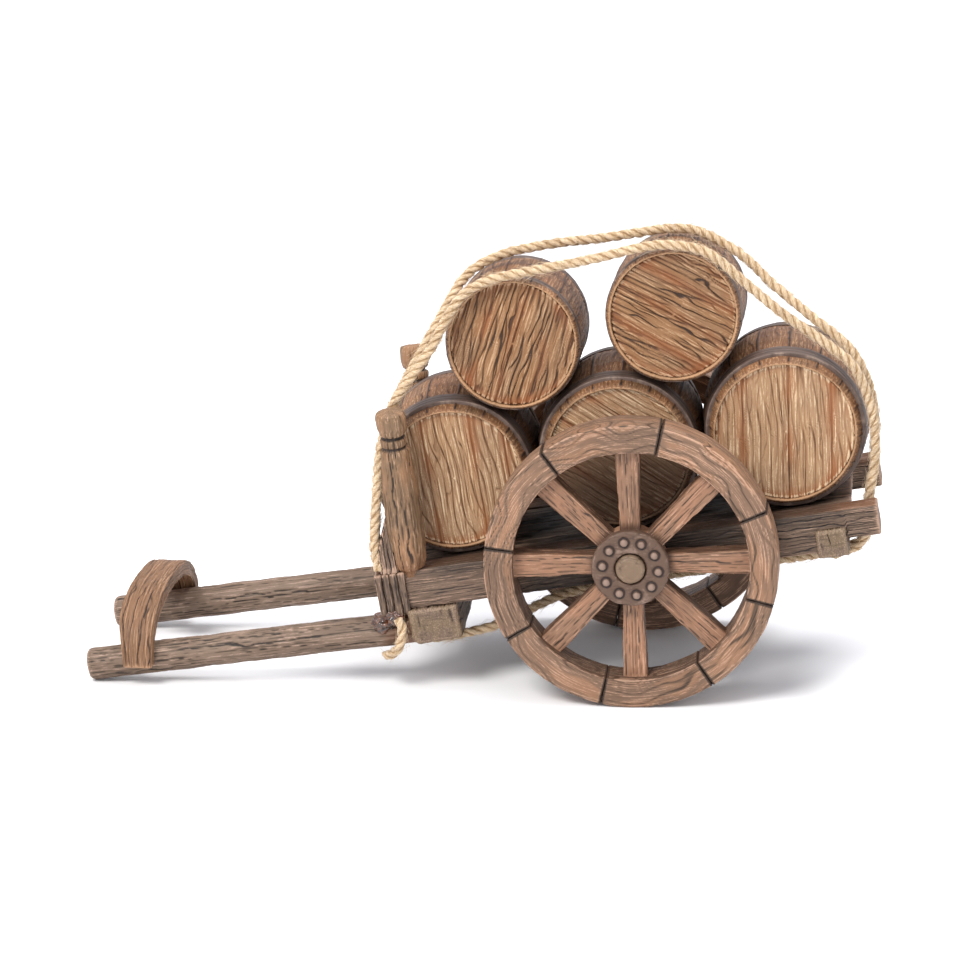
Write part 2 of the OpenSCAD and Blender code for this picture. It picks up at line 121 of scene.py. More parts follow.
def plain_floor():
    mesh = bpy.data.meshes.new("floor")
    s = 6.0
    mesh.from_pydata([(-s, -s, 0), (s, -s, 0), (s, s, 0), (-s, s, 0)], [], [(0, 1, 2, 3)])
    floor = bpy.data.objects.new("floor", mesh)
    bpy.context.collection.objects.link(floor)
    mat = bpy.data.materials.new("white_sweep")
    mat.use_nodes = True
    shader = mat.node_tree.nodes["Principled BSDF"]
    shader.inputs["Base Color"].default_value = (0.9, 0.9, 0.91, 1)
    shader.inputs["Roughness"].default_value = 0.7
    shader.inputs["Specular IOR Level"].default_value = 0.2
    mesh.materials.append(mat)
    return floor


world = bpy.data.worlds.new("studio")
world.use_nodes = True
sky = world.node_tree.nodes["Background"]
sky.inputs["Color"].default_value = (0.93, 0.945, 1.0, 1)
sky.inputs["Strength"].default_value = 1.0
bpy.context.scene.world = world
bpy.context.scene.view_settings.view_transform = "Standard"
area_light("key_panel", (-0.45, -0.75, 0.95), (0, 0, 0.05), 0.5, 14, (1, 0.985, 0.96))
area_light("top_panel", (0.25, 0.15, 1.0), (0, 0, 0.05), 0.5, 6)
plain_floor()

# %% [markdown]
# ## Smooth noise for carving
# Wood grain is a noise that is stretched along the board. Gradient noise on whole-number lattice points
# is quick to work out for a whole grid of points at once with numpy, and one seed always gives one result.

# %% Noise
def lattice(x, y, z, seed):
    h = (x * 374761393 + y * 668265263 + z * 1440662683 + seed * 1013904223) & 0xFFFFFFFF
    h = ((h ^ (h >> 13)) * 1274126177) & 0xFFFFFFFF
    return h ^ (h >> 16)


def noise(x, y, z, seed=0):
    x, y, z = np.broadcast_arrays(x, y, z)
    xi, yi, zi = (np.floor(v).astype(np.int64) for v in (x, y, z))
    fx, fy, fz = x - xi, y - yi, z - zi
    ux, uy, uz = (f * f * f * (f * (f * 6 - 15) + 10) for f in (fx, fy, fz))
    total = 0
    for dx in (0, 1):
        for dy in (0, 1):
            for dz in (0, 1):
                h = lattice(xi + dx, yi + dy, zi + dz, seed)
                slope = ((h & 1023) / 511.5 - 1) * (fx - dx)
                slope = slope + (((h >> 10) & 1023) / 511.5 - 1) * (fy - dy)
                slope = slope + (((h >> 20) & 1023) / 511.5 - 1) * (fz - dz)
                share = (ux if dx else 1 - ux) * (uy if dy else 1 - uy) * (uz if dz else 1 - uz)
                total = total + share * slope
    return total * 1.25


def smooth(x, low, high):
    t = np.clip((x - low) / (high - low), 0, 1)
    return t * t * (3 - 2 * t)


def xyz(p):
    return p[..., 0], p[..., 1], p[..., 2]


def chance(seed):
    return (int(lattice(seed, seed * 7 + 3, 11, 5)) % 10007) / 10007


print("noise sample", round(float(noise(0.3, 0.7, 0.1, 4)), 4))

# %% [markdown]
# ## Grain
# Two kinds of line are cut with a veining tool. Furrows are long cracks that follow the grain and fade in
# and out. Cathedral lines are the growth rings of a board cut at a slant: rings round an axis that leans
# through the board, so they show as long waves and eyes.

# %% Grain lines
def furrows(a, b, c, seed, pitch=1.5, run=16, width=0.16, fade=0.1):
    bend = 0.9 * pitch * noise(a / run * 1.7, b / (4 * pitch), c / (4 * pitch), seed + 1)
    q = noise(a / run, (b + bend) / pitch, (c + bend) / pitch, seed)
    line = 1 - smooth(np.abs(q), 0.02, width)
    patch = noise(a / run * 1.2, b / (1.6 * pitch), c / (1.6 * pitch), seed + 2)
    keep = smooth(patch, -fade - 0.2, 0.25 - fade)
    return line * keep


def strokes(a, t, seed, pitch=1.2, run=18, width=0.16, share=0.6, bend=0.5):
    """Long cuts beside each other, t across the grain: each fades in and out and tapers to its ends."""
    sway = bend * pitch * (noise(a / run, t / (3 * pitch), 0, seed) + 0.4 * noise(a / 5, t / pitch, 1, seed))
    q = (t + 2 * sway) / pitch
    cut = np.round(q)
    shift = 0.5 * noise(a / (2 * run), cut * 3.37, 2, seed + 1)
    off = np.abs(q - cut - shift) * pitch
    keep = smooth(noise(a / run * 1.3, cut * 5.71, 3, seed + 2), 0.25 - share, 0.55 - share)
    return keep * (1 - smooth(off, 0.35 * width * keep, 0.02 + width * (0.4 + 0.6 * keep)))


def rings(a, b, c, seed, pitch=1.4, lean=0.12, wave=2.0, run=14, offset=3.0):
    """How far a point is from the heart of the tree, counted in growth rings."""
    sway = wave * noise(a / run, b / 10, c / 10, seed) + 0.12 * noise(a / 5, b / 2, c / 2, seed + 1)
    return np.hypot(b + lean * a + sway, c + offset + 0.2 * a * lean) / pitch


def cathedral(a, b, c, seed, pitch=1.4, lean=0.12, wave=2.0, run=14, width=0.3, offset=3.0):
    d = rings(a, b, c, seed, pitch, lean, wave, run, offset)
    gap = np.abs(d - np.round(d)) * 2
    keep = smooth(noise(a / 15, np.round(d) * 3.7, c / 4, seed + 2), -0.5, 0.0)
    return keep * (1 - smooth(gap, 0.04, width * (0.3 + 0.7 * keep)))


# %% [markdown]
# ## Bars and turned pieces as grids
# Nearly every piece is a section that runs along a line: a beam, a spoke, a stave. A grid of rows and
# columns with rounded ends describes them all, and numpy can push thousands of its points in and out.

# %% Grids
def rounding(soft, count, length):
    """How many points, always an odd number, a worn corner reaches across."""
    return max(3, int(round(2 * soft * count / length)) | 1)


def worn_down(fine, around, width):
    """The points averaged over a window, and how far each was pulled in, from 0 to 1."""
    kernel = np.hanning(width + 2)[1:-1]
    kernel = kernel / kernel.sum()
    worn = np.stack([np.convolve(around[:, i], kernel, "valid") for i in (0, 1)], 1)
    pulled = np.linalg.norm(worn - fine, axis=1)
    return worn, np.clip(pulled / (pulled.max() + 1e-9), 0, 1)


def outline(points, step=0.18, soft=0.8):
    """Evenly spaced points round a polygon whose corners are worn round, and how near a corner each is."""
    p = np.array(points, float)
    q = np.roll(p, -1, 0)
    seg = np.linalg.norm(q - p, axis=1)
    run = np.concatenate([[0], np.cumsum(seg)])
    count = max(12, int(run[-1] / step))
    s = np.linspace(0, run[-1], count * 6, endpoint=False)
    k = np.searchsorted(run, s, side="right") - 1
    t = ((s - run[k]) / seg[k])[:, None]
    fine = p[k] * (1 - t) + q[k] * t
    width = rounding(soft, len(s), run[-1])
    pad = width // 2
    worn, corner = worn_down(fine, np.concatenate([fine[-pad:], fine, fine[:pad]]), width)
    return worn[::6], corner[::6]


def box_outline(low, high, step=0.18, soft=0.8):
    return outline([low, (high[0], low[1]), high, (low[0], high[1])], step, soft)


def round_outline(r, step=0.18):
    count = max(16, int(2 * math.pi * r / step))
    t = np.linspace(0, 2 * math.pi, count, endpoint=False)
    return np.stack([r * np.cos(t), r * np.sin(t)], 1), np.zeros(count)


def bar(shape, length, step=0.35, soft=0.5, rings=(0, 0)):
    """A section carried along X from 0, with rounded ends: places, wear on edges, end-grain mask."""
    section, corner = shape
    mid = section.mean(0)
    half = np.abs(section - mid).max(0).min()
    turn = 1 - np.cos(np.linspace(0, math.pi / 2, 4))
    body = np.linspace(soft, length - soft, max(3, int((length - 2 * soft) / step)))
    x = np.concatenate([soft * turn[:-1], body, length - soft * turn[-2::-1]])
    near = np.minimum(x, length - x)
    inset = soft - np.sqrt(np.maximum(soft ** 2 - np.maximum(soft - near, 0) ** 2, 0))
    scale = 1 - inset / half
    k0, k1 = (r or max(3, int(half / step)) for r in rings)
    s = np.concatenate([scale[0] * np.linspace(0.03, 1, k0, endpoint=False), scale,
                        scale[-1] * np.linspace(1, 0.03, k1 + 1)[1:]])
    x = np.concatenate([np.zeros(k0), x, np.full(k1, length)])
    end = np.concatenate([np.ones(k0), np.zeros(len(s) - k0 - k1), np.ones(k1)])[:, None] + 0 * corner
    p = np.stack([x[:, None] + 0 * corner, mid[0] + (section[:, 0] - mid[0]) * s[:, None],
                  mid[1] + (section[:, 1] - mid[1]) * s[:, None]], -1)
    edge = np.exp(-(np.minimum(x, length - x) / 0.6) ** 2)[:, None]
    rim = np.exp(-((1 - s) * half / 0.6) ** 2)[:, None]
    wear = np.where(end > 0, rim, np.maximum(corner, edge))
    step_round = np.linalg.norm(np.roll(section, -1, 0) - section, axis=1)
    girth = np.concatenate([[0], np.cumsum(step_round)[:-1]]) + 0 * x[:, None]
    return {"p": p, "wear": wear, "end": end, "loop": False, "girth": girth}


def timber_lines(piece, seed, pitch=1.0, run=22, strong=0.55):
    """The cuts on a sawn timber: a few deep ones, many shallow ones, and checks in its ends."""
    p, t = piece["p"], piece["girth"]
    a, b, c = xyz(p)
    line = strokes(a, t, seed, 2.1 * pitch, 1.6 * run, 0.17, strong - 0.1)
    line = np.maximum(line, 0.65 * strokes(a, t + 31, seed + 5, 1.05 * pitch, 1.3 * run, 0.12, strong))
    line = np.maximum(line, 0.4 * strokes(a, t + 57, seed + 9, 0.6 * pitch, 0.5 * run, 0.12, strong + 0.1))
    checks = 0.75 * strokes(c, b, seed + 13, 1.7, 9, 0.22, 0.35)
    checks = np.maximum(checks, 0.35 * strokes(b, c, seed + 15, 0.9, 6, 0.16, 0.4))
    near = np.minimum(a - a.min(), a.max() - a)
    return np.where(piece["end"] > 0, checks, line * smooth(near, 0.3, 1.6))


def lathe(points, count, step=0.35, soft=0.3, loop=False):
    """A profile of (radius, height) turned about Z."""
    p = np.array(points, float)
    if loop:
        prof, corner = outline(points, step, soft)
    else:
        seg = np.linalg.norm(np.diff(p, axis=0), axis=1)
        run = np.concatenate([[0], np.cumsum(seg)])
        s = np.linspace(0, run[-1], max(8, int(run[-1] / step)) * 4)
        fine = np.stack([np.interp(s, run, p[:, i]) for i in (0, 1)], 1)
        width = rounding(soft, len(s), run[-1])
        pad = width // 2
        around = np.concatenate([2 * fine[0] - fine[pad:0:-1], fine, 2 * fine[-1] - fine[-2:-pad - 2:-1]])
        worn, corner = worn_down(fine, around, width)
        keep = np.unique(np.concatenate([np.arange(0, len(s), 4), [len(s) - 1]]))
        prof, corner = worn[keep], corner[keep]
        prof[:, 0] = np.maximum(prof[:, 0], 0.01)
    t = np.linspace(0, 2 * math.pi, count, endpoint=False)
    r, z = prof[:, :1], prof[:, 1:]
    grid = np.stack([r * np.cos(t), r * np.sin(t), z + 0 * t], -1)
    return {"p": grid, "wear": corner[:, None] + 0 * t, "end": np.zeros(grid.shape[:2]), "loop": loop}


def facing(piece):
    """The direction each point of the grid faces."""
    p = piece["p"]
    if piece["loop"]:
        along = np.roll(p, -1, 0) - np.roll(p, 1, 0)
    else:
        along = np.gradient(p, axis=0)
    n = np.cross(np.roll(p, -1, 1) - np.roll(p, 1, 1), along)
    n = n / (np.linalg.norm(n, axis=-1, keepdims=True) + 1e-12)
    middle = p.reshape(-1, 3).mean(0)
    outward = np.sum(n * (p - middle), -1).mean()
    return n if outward > 0 or piece["loop"] else -n


print("a test bar has", bar(box_outline((0, 0), (4, 3)), 20)["p"].shape, "points")

# %% [markdown]
# ## Carving and joining
# Carving pushes each point back along the way it faces, deepest in the middle of a line. The depth is also
# kept as a number on every point, so that paint can lie dark in the cuts and light on the ridges.

# %% Carve and join
def carve(piece, line, depth, lumps=0.0, seed=0, size=6.0):
    p = piece["p"]
    push = -depth * line
    if lumps:
        x, y, z = xyz(p)
        push = push + lumps * noise(x / size, y / size * 1.4, z / size * 1.4, seed + 50)
        push = push + 0.35 * lumps * noise(x / 1.6, y / 1.3, z / 1.3, seed + 51)
    if "grain" not in piece:
        shift = np.array([37.0, 23.0, 11.0]) * chance(seed + 9)
        piece["grain"] = p + shift
    piece["relief"] = np.minimum(piece.get("relief", 1.0), 1 - np.clip(line, 0, 1))
    piece["p"] = p + facing(piece) * push[..., None]
    return piece


def grid_faces(rows, cols, loop, start):
    i = np.arange(rows if loop else rows - 1)[:, None]
    j = np.arange(cols)[None, :]
    a, b = i * cols + j, i * cols + (j + 1) % cols
    c, d = ((i + 1) % rows) * cols + (j + 1) % cols, ((i + 1) % rows) * cols + j
    return np.stack([a, b, c, d], -1).reshape(-1, 4) + start


# Each barrel's axis in the side view, along and up, and a radius near its belly, used only for the painted
# shade between the barrels.
BARREL_AXES = {"front_barrel": (-6.8, 54.4, 20.3), "middle_barrel": (35.6, 61.3, 20.3),
               "rear_barrel": (78.1, 68.2, 20.3), "top_front_barrel": (8.9, 89.4, 17.2),
               "top_rear_barrel": (49.8, 97.1, 17.2)}


def painted_recess_shade(world, name):
    """Painted shade, from 0 to 1: darkest behind the spokes of the wheels and close beside another barrel."""
    x, z = world[..., 0], world[..., 2]
    behind = 1 - smooth(np.hypot(x - AXLE_X, z - WHEEL_R), 25, 33)
    corner = 0 * x
    for other, (axis_x, axis_z, r) in BARREL_AXES.items():
        if not name.startswith(other):
            gap = np.hypot(x - axis_x, z - axis_z) - r
            corner = np.maximum(corner, 1 - smooth(gap, 0.2, 4.5))
    return np.clip(np.maximum(0.8 * behind, 0.75 * corner), 0, 1)


def joined(name, pieces, place, material, body="cart", nodes=()):
    """One object out of several carved grids, each set in its place."""
    places, quads, tris, count = [], [], [], 0
    values = {key: [] for key in ("relief", "wear", "stain_and_shade", "tone", "band", "shade")}
    grains = []
    for k, piece in enumerate(pieces):
        way = piece.get("place", place)
        world = way(piece["p"])
        rows, cols = world.shape[:2]
        faces = grid_faces(rows, cols, piece["loop"], count)
        # Painted shade: points behind the wheels and between the barrels are marked to be darkened.
        if body == "cart" and not name.startswith(("rope", "stake")):
            piece["shade"] = painted_recess_shade(world, name)
        flat = world.reshape(-1, 3)
        grain = piece.get("grain", piece["p"]).reshape(-1, 3)
        fan = np.zeros((0, 3), int)
        added = 0
        if not piece["loop"]:
            flat = np.concatenate([flat, world[:1].mean(1), world[-1:].mean(1)])
            grain = np.concatenate([grain, grain[:1], grain[-1:]])
            j = np.arange(cols)
            last = (rows - 1) * cols
            first_fan = np.stack([0 * j + rows * cols, (j + 1) % cols, j], 1)
            last_fan = np.stack([0 * j + rows * cols + 1, last + j, last + (j + 1) % cols], 1)
            fan = np.concatenate([first_fan, last_fan]) + count
            added = 2
        v = flat - flat.mean(0)
        q = faces - count
        volume = np.sum(np.cross(v[q[:, 1]] - v[q[:, 0]], v[q[:, 3]] - v[q[:, 0]]) * v[q[:, 0]])
        if volume < 0:
            faces, fan = faces[:, ::-1], fan[:, ::-1]
        for key in values:
            wanted = piece.get(key, chance(k * 13 + len(name)) if key == "tone" else 0.0)
            full = np.broadcast_to(wanted, world.shape[:2]).reshape(-1)
            values[key].append(np.concatenate([full, full[:1], full[-1:]]) if added else full)
        places.append(flat)
        grains.append(grain)
        quads.append(faces)
        tris.append(fan)
        count += len(flat)
    verts, quads, tris = np.concatenate(places) / 1000, np.concatenate(quads), np.concatenate(tris)
    mesh = bpy.data.meshes.new(name)
    mesh.vertices.add(len(verts))
    mesh.vertices.foreach_set("co", verts.astype(np.float32).ravel())
    loops = np.concatenate([quads.ravel(), tris.ravel()]).astype(np.int32)
    mesh.loops.add(len(loops))
    mesh.loops.foreach_set("vertex_index", loops)
    starts = np.concatenate([np.arange(len(quads)) * 4, len(quads) * 4 + np.arange(len(tris)) * 3])
    mesh.polygons.add(len(starts))
    mesh.polygons.foreach_set("loop_start", starts.astype(np.int32))
    mesh.update(calc_edges=True)
    mesh.shade_smooth()
    for key, parts in values.items():
        layer = mesh.attributes.new(key, "FLOAT", "POINT")
        layer.data.foreach_set("value", np.concatenate(parts).astype(np.float32))
    layer = mesh.attributes.new("grain", "FLOAT_VECTOR", "POINT")
    layer.data.foreach_set("vector", np.concatenate(grains).astype(np.float32).ravel())
    mesh.materials.append(material)
    made = bpy.data.objects.new(name, mesh)
    bpy.context.collection.objects.link(made)
    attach(made, body)
    if nodes:
        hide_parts(*nodes)
    print(name, len(verts), "points")
    return made


def on_bed(p):
    """From the tilted bed (along, across, up) to the cart."""
    u, y, w = xyz(p)
    return np.stack([AXLE_X + u * math.cos(PITCH) - w * math.sin(PITCH), y,
                     WHEEL_R + u * math.sin(PITCH) + w * math.cos(PITCH)], -1)


# %% [markdown]
# ## Painted wood
# The real finish is a stain that settled in the cuts, a brown coat over the wood and a nearly dry brush of
# light paint dragged over the ridges. The same three steps are mixed here in one node group, from the
# carved relief, the worn edges and a fine stretched noise that follows each board's own grain.

# %% The painted wood group
def paint(text):
    """A colour as a painter's chart names it, turned to the light values that shaders mix."""
    parts = [int(text[i:i + 2], 16) / 255 for i in (0, 2, 4)]
    return tuple(v / 12.92 if v <= 0.04045 else ((v + 0.055) / 1.055) ** 2.4 for v in parts) + (1.0,)


class Nodes:
    """Short names for the few node steps that the groups are made of."""

    def __init__(self, tree):
        self.tree = tree

    def add(self, kind, **settings):
        node = self.tree.nodes.new(kind)
        for key, value in settings.items():
            setattr(node, key, value)
        return node

    def join(self, a, b):
        self.tree.links.new(a, b)

    def feed(self, socket, value):
        if isinstance(value, bpy.types.NodeSocket):
            self.join(value, socket)
        else:
            socket.default_value = value

    def value(self, name):
        return self.add("ShaderNodeAttribute", attribute_name=name).outputs["Fac"]

    def math(self, kind, a, b=0.0, clamp=False):
        node = self.add("ShaderNodeMath", operation=kind, use_clamp=clamp)
        self.feed(node.inputs[0], a)
        self.feed(node.inputs[1], b)
        return node.outputs[0]

    def ramp(self, value, low, high):
        node = self.add("ShaderNodeMapRange", interpolation_type="SMOOTHSTEP")
        self.feed(node.inputs["Value"], value)
        self.feed(node.inputs["From Min"], low)
        self.feed(node.inputs["From Max"], high)
        return node.outputs["Result"]

    def mix(self, share, a, b, blend="MIX"):
        node = self.add("ShaderNodeMix", data_type="RGBA", blend_type=blend)
        self.feed(node.inputs["Factor"], share)
        self.feed(node.inputs[6], a)
        self.feed(node.inputs[7], b)
        return node.outputs[2]

    def stretched(self, scale, size=1.0, detail=3.0, rough=0.6):
        where = self.add("ShaderNodeAttribute", attribute_name="grain").outputs["Vector"]
        scaled = self.add("ShaderNodeVectorMath", operation="MULTIPLY")
        self.join(where, scaled.inputs[0])
        scaled.inputs[1].default_value = scale
        tex = self.add("ShaderNodeTexNoise")
        self.join(scaled.outputs[0], tex.inputs["Vector"])
        tex.inputs["Scale"].default_value = size
        tex.inputs["Detail"].default_value = detail
        tex.inputs["Roughness"].default_value = rough
        return tex.outputs["Fac"]

    def bump(self, shader, height, distance, strength=1.0):
        relief = self.add("ShaderNodeBump")
        relief.inputs["Strength"].default_value = strength
        relief.inputs["Distance"].default_value = distance
        self.join(height, relief.inputs["Height"])
        self.join(relief.outputs["Normal"], shader.inputs["Normal"])


def new_finish(name):
    """A new material, short names for its node steps, and its shader."""
    mat = bpy.data.materials.new(name)
    mat.use_nodes = True
    return mat, Nodes(mat.node_tree), mat.node_tree.nodes["Principled BSDF"]


def socket(tree, name, way, kind, value=None):
    made = tree.interface.new_socket(name=name, in_out=way, socket_type=kind)
    if value is not None:
        made.default_value = value
    return made


def painted_wood_group():
    tree = bpy.data.node_groups.new("painted_wood", "ShaderNodeTree")
    for name in ("Crack", "Wash", "Body", "Other Body", "Ridge", "Stain And Shade"):
        socket(tree, name, "INPUT", "NodeSocketColor", (0.5, 0.5, 0.5, 1))
    for name, value in (("Other Share", 0.5), ("Brushing", 0.7), ("Speckle", 0.4)):
        socket(tree, name, "INPUT", "NodeSocketFloat", value)
    socket(tree, "Color", "OUTPUT", "NodeSocketColor")
    socket(tree, "Roughness", "OUTPUT", "NodeSocketFloat")
    socket(tree, "Height", "OUTPUT", "NodeSocketFloat")
    n = Nodes(tree)
    given = n.add("NodeGroupInput").outputs
    fibre = n.stretched((0.08, 3.0, 3.0), 1.0, 4.0, 0.7)
    speck = n.stretched((1.2, 4.2, 4.2), 1.0, 2.0, 0.7)
    patch = n.stretched((0.055, 0.16, 0.16), 1.0, 2.0, 0.55)
    fibre_lift = n.math("MULTIPLY", n.math("SUBTRACT", fibre, 0.5), 2.0)
    height = n.math("ADD", n.value("relief"), fibre_lift)
    colour = n.mix(n.ramp(height, 0.05, 0.42), given["Crack"], given["Wash"])
    colour = n.mix(n.ramp(height, 0.35, 0.8), colour, given["Body"])
    share = n.math("MULTIPLY", n.math("ADD", n.ramp(patch, 0.42, 0.6), n.value("band"), True),
                   given["Other Share"])
    share = n.math("MULTIPLY", share, n.ramp(height, 0.3, 0.7))
    colour = n.mix(share, colour, given["Other Body"])
    # Real stains, and on the felloes and spokes painted shade, are mixed in here.
    stain_and_shade_share = n.math("MULTIPLY", n.value("stain_and_shade"), n.ramp(n.math("ADD", fibre, 0.1), 0.2, 0.6))
    colour = n.mix(stain_and_shade_share, colour, given["Stain And Shade"])
    edge = n.math("MULTIPLY", n.value("wear"), 0.32)
    speckle = n.math("MULTIPLY", n.math("SUBTRACT", speck, 0.5), given["Speckle"])
    lifted = n.math("ADD", n.math("ADD", height, edge), speckle)
    ridge = n.math("MULTIPLY", n.ramp(lifted, 0.95, 1.3), given["Brushing"])
    colour = n.mix(ridge, colour, given["Ridge"])
    tone = n.math("ADD", n.math("MULTIPLY", n.value("tone"), 0.22), 0.89)
    grey = n.add("ShaderNodeCombineColor")
    for i in range(3):
        n.join(tone, grey.inputs[i])
    colour = n.mix(1.0, colour, grey.outputs[0], "MULTIPLY")
    # Painted shade: recesses behind the wheels and between the barrels are darkened towards the crack colour.
    colour = n.mix(n.math("MULTIPLY", n.value("shade"), 0.85), colour, given["Crack"])
    out = n.add("NodeGroupOutput").inputs
    n.join(colour, out["Color"])
    n.join(n.math("ADD", n.math("MULTIPLY", speck, -0.35), 0.78), out["Roughness"])
    n.join(n.math("ADD", fibre_lift, n.math("MULTIPLY", speck, 0.5)), out["Height"])
    return tree


PAINTED_WOOD = painted_wood_group()


def painted_wood(name, crack, wash, body, other, ridge, stain_and_shade="6a3f22", share=0.5, brushing=0.7, speckle=0.5,
                 bump=0.00006):
    mat, n, shader = new_finish(name)
    group = n.add("ShaderNodeGroup", node_tree=PAINTED_WOOD)
    chart = (("Crack", crack), ("Wash", wash), ("Body", body), ("Other Body", other), ("Ridge", ridge),
             ("Stain And Shade", stain_and_shade))
    for key, value in chart:
        group.inputs[key].default_value = paint(value)
    for key, value in (("Other Share", share), ("Brushing", brushing), ("Speckle", speckle)):
        group.inputs[key].default_value = value
    n.join(group.outputs["Color"], shader.inputs["Base Color"])
    n.join(group.outputs["Roughness"], shader.inputs["Roughness"])
    n.bump(shader, group.outputs["Height"], bump, 0.8)
    shader.inputs["Specular IOR Level"].default_value = 0.42
    return mat


TIMBER = painted_wood("timber", "1a110b", "382a21", "5f4c3d", "6a5445", "b1907a", share=0.6, brushing=0.7)
SHAFT_WOOD = painted_wood("shaft_wood", "21160e", "443527", "6d5848", "7d6857", "b79a88", share=0.6)
STAKE_WOOD = painted_wood("stake_wood", "23150b", "4d3826", "785d43", "9a704e", "bb987c", share=0.7)
YOKE_WOOD = painted_wood("yoke_wood", "221309", "4a311f", "6e4f36", "78553a", "ad8666", share=0.6,
                         brushing=0.6)
# On the felloes and spokes the stain colour is painted shade, on faces turned away and next to the nave.
FELLOE_WOOD = painted_wood("felloe_wood", "2f2016", "55402f", "856249", "654f3f", "ba947a", share=0.75,
                           stain_and_shade="4a3323")
SPOKE_WOOD = painted_wood("spoke_wood", "291910", "533c2c", "87654e", "946a4f", "c49c81", share=0.7,
                          stain_and_shade="4b3426")
STAVE_WOOD = painted_wood("stave_wood", "221309", "492f1e", "704f34", "7c5131", "b68e69", share=0.6,
                          stain_and_shade="5a371f")
LOW_HEAD_WOOD = painted_wood("low_head_wood", "3f2412", "745234", "9b7a5b", "a6815d", "dabf9c",
                             stain_and_shade="8f5730", brushing=0.85)
TOP_HEAD_WOOD = painted_wood("top_head_wood", "2a1708", "5b3d24", "836142", "885e37", "c2a07d",
                             stain_and_shade="87502a")
print("wood finishes made")

# %% [markdown]
# ## The two side beams
# A beam is a sawn timber, dark with age, with long cracks and light along its arrises. It could be a box
# with a bump texture, but at this size the cracks catch real shadow, so they are cut into the mesh.

# %% Side beams
def along_beam(u):
    return lambda p: on_bed(p + np.array([u, 0.0, 0.0]))


BEAM_IN, BEAM_OUT, BEAM_LOW, BEAM_TOP, BEAM_START, BEAM_LONG = 17, 25, -6.3, 3.9, -67, 130.3


def beam_faces(side):
    """Where the beam's two upright faces lie across the cart, the lower first."""
    return sorted((side * BEAM_IN, side * BEAM_OUT))


def side_beam(side):
    low_y, high_y = beam_faces(side)
    piece = bar(box_outline((low_y, BEAM_LOW), (high_y, BEAM_TOP), soft=0.7), BEAM_LONG, soft=0.5)
    p = piece["p"]
    tail = smooth(p[..., 0], 121.2, 122.2)
    cut_up = BEAM_TOP - (BEAM_TOP - p[..., 2]) * (1 - 0.265 * tail)
    p[..., 2] = np.where(p[..., 2] < BEAM_TOP, cut_up, p[..., 2])
    a, b, c = xyz(p)
    seed = 11 if side == LEFT else 12
    line = timber_lines(piece, seed, 1.0, 26)
    piece["stain_and_shade"] = 0.6 * smooth(c, 2.2, BEAM_TOP) * (np.abs(b) < 24.2)
    carve(piece, line, 0.36, 0.16, seed)
    name = sided("side_beam", side)
    return joined(name, [piece], along_beam(BEAM_START), TIMBER, nodes=[name])


for side in (LEFT, RIGHT):
    side_beam(side)

# %% [markdown]
# ## Crossbars and the hidden bearers
# Under the beams lie two stout blocks. Their sawn ends face the viewer, so the end grain gets short upright
# checks, where the long faces get furrows. The floor boards and bearers are carved in the same way.

# %% Crossbars
def crossbar(name, section, reach, seed, soft):
    piece = bar(outline(section, soft=soft), 2 * reach, soft=0.9)
    piece["wear"] = 0.45 * piece["wear"]
    carve(piece, timber_lines(piece, seed, 1.0, 16), 0.34, 0.3, seed)
    return joined(name, [piece], lambda p: on_bed(np.stack([p[..., 1], p[..., 0] - reach, p[..., 2]], -1)),
                  CROSSBAR_WOOD, nodes=[name])


CROSSBAR_WOOD = painted_wood("crossbar_wood", "21160e", "423225", "635041", "69573c", "9e866f", share=0.5,
                             brushing=0.6)
FRONT_SECTION = [(-60, -6.3), (-60, -14), (-58.4, -15.8), (-46.8, -15.4), (-46.8, -6.3)]
REAR_SECTION = [(46.6, -7.8), (54.6, -7.8), (54.6, -0.3), (46.6, -0.3)]
crossbar("front_crossbar", FRONT_SECTION, 26.6, 21, 1.4)
crossbar("rear_crossbar", REAR_SECTION, 26.4, 31, 1.3)


# %% Floor and bearers
def plank(low, high, seed, pitch=1.5):
    piece = bar(box_outline((low[1], low[2]), (high[1], high[2]), 0.5, 0.25), high[0] - low[0], 0.5, 0.25)
    a, b, c = xyz(piece["p"])
    carve(piece, furrows(a, b, c, seed, pitch, 18), 0.2, 0.05, seed)
    piece["place"] = along_beam(low[0])
    return piece


FLOOR_LOW, FLOOR_HIGH = 2.4, 3.4
edges = np.linspace(-17, 17, 6)
boards = [plank((-66, edges[i] + 0.1, FLOOR_LOW), (56.5, edges[i + 1] - 0.1, FLOOR_HIGH), 40 + i)
          for i in range(5)]
joined("floor_boards", boards, on_bed, TIMBER, nodes=["floor_boards"])


def crosswise(name, low_u, high_u, low_w, high_w, seed):
    piece = bar(box_outline((low_u, low_w), (high_u, high_w), 0.45, 0.4), 34.0, 0.45, 0.3)
    a, b, c = xyz(piece["p"])
    carve(piece, furrows(a, b, c, seed, 1.5, 16), 0.25, 0.08, seed)
    piece["place"] = lambda p: on_bed(np.stack([p[..., 1], p[..., 0] - 17, p[..., 2]], -1))
    return piece


# %% Bearers and bolster
bearers = [crosswise("bearer", -32, -28, -2, 2.4, 46), crosswise("bearer", 26, 30, -2, 2.4, 47)]
joined("floor_bearers", bearers, on_bed, TIMBER, nodes=["floor_bearers"])
joined("axle_bolster", [crosswise("bolster", -5, 5, -6.3, 2.4, 48)], on_bed, TIMBER,
       nodes=["axle_bolster"])


# %% [markdown]
# ## Bindings at the front of the beams
# Four narrow bands wrap each beam's front end and look like a ribbed collar. Each is a rounded strip led
# down one face of the beam, under it and up the other face.

# %% Beam bindings
BAND_OFF, BAND_TOP, BAND_LOW = 0.35, 4.1, -6.9


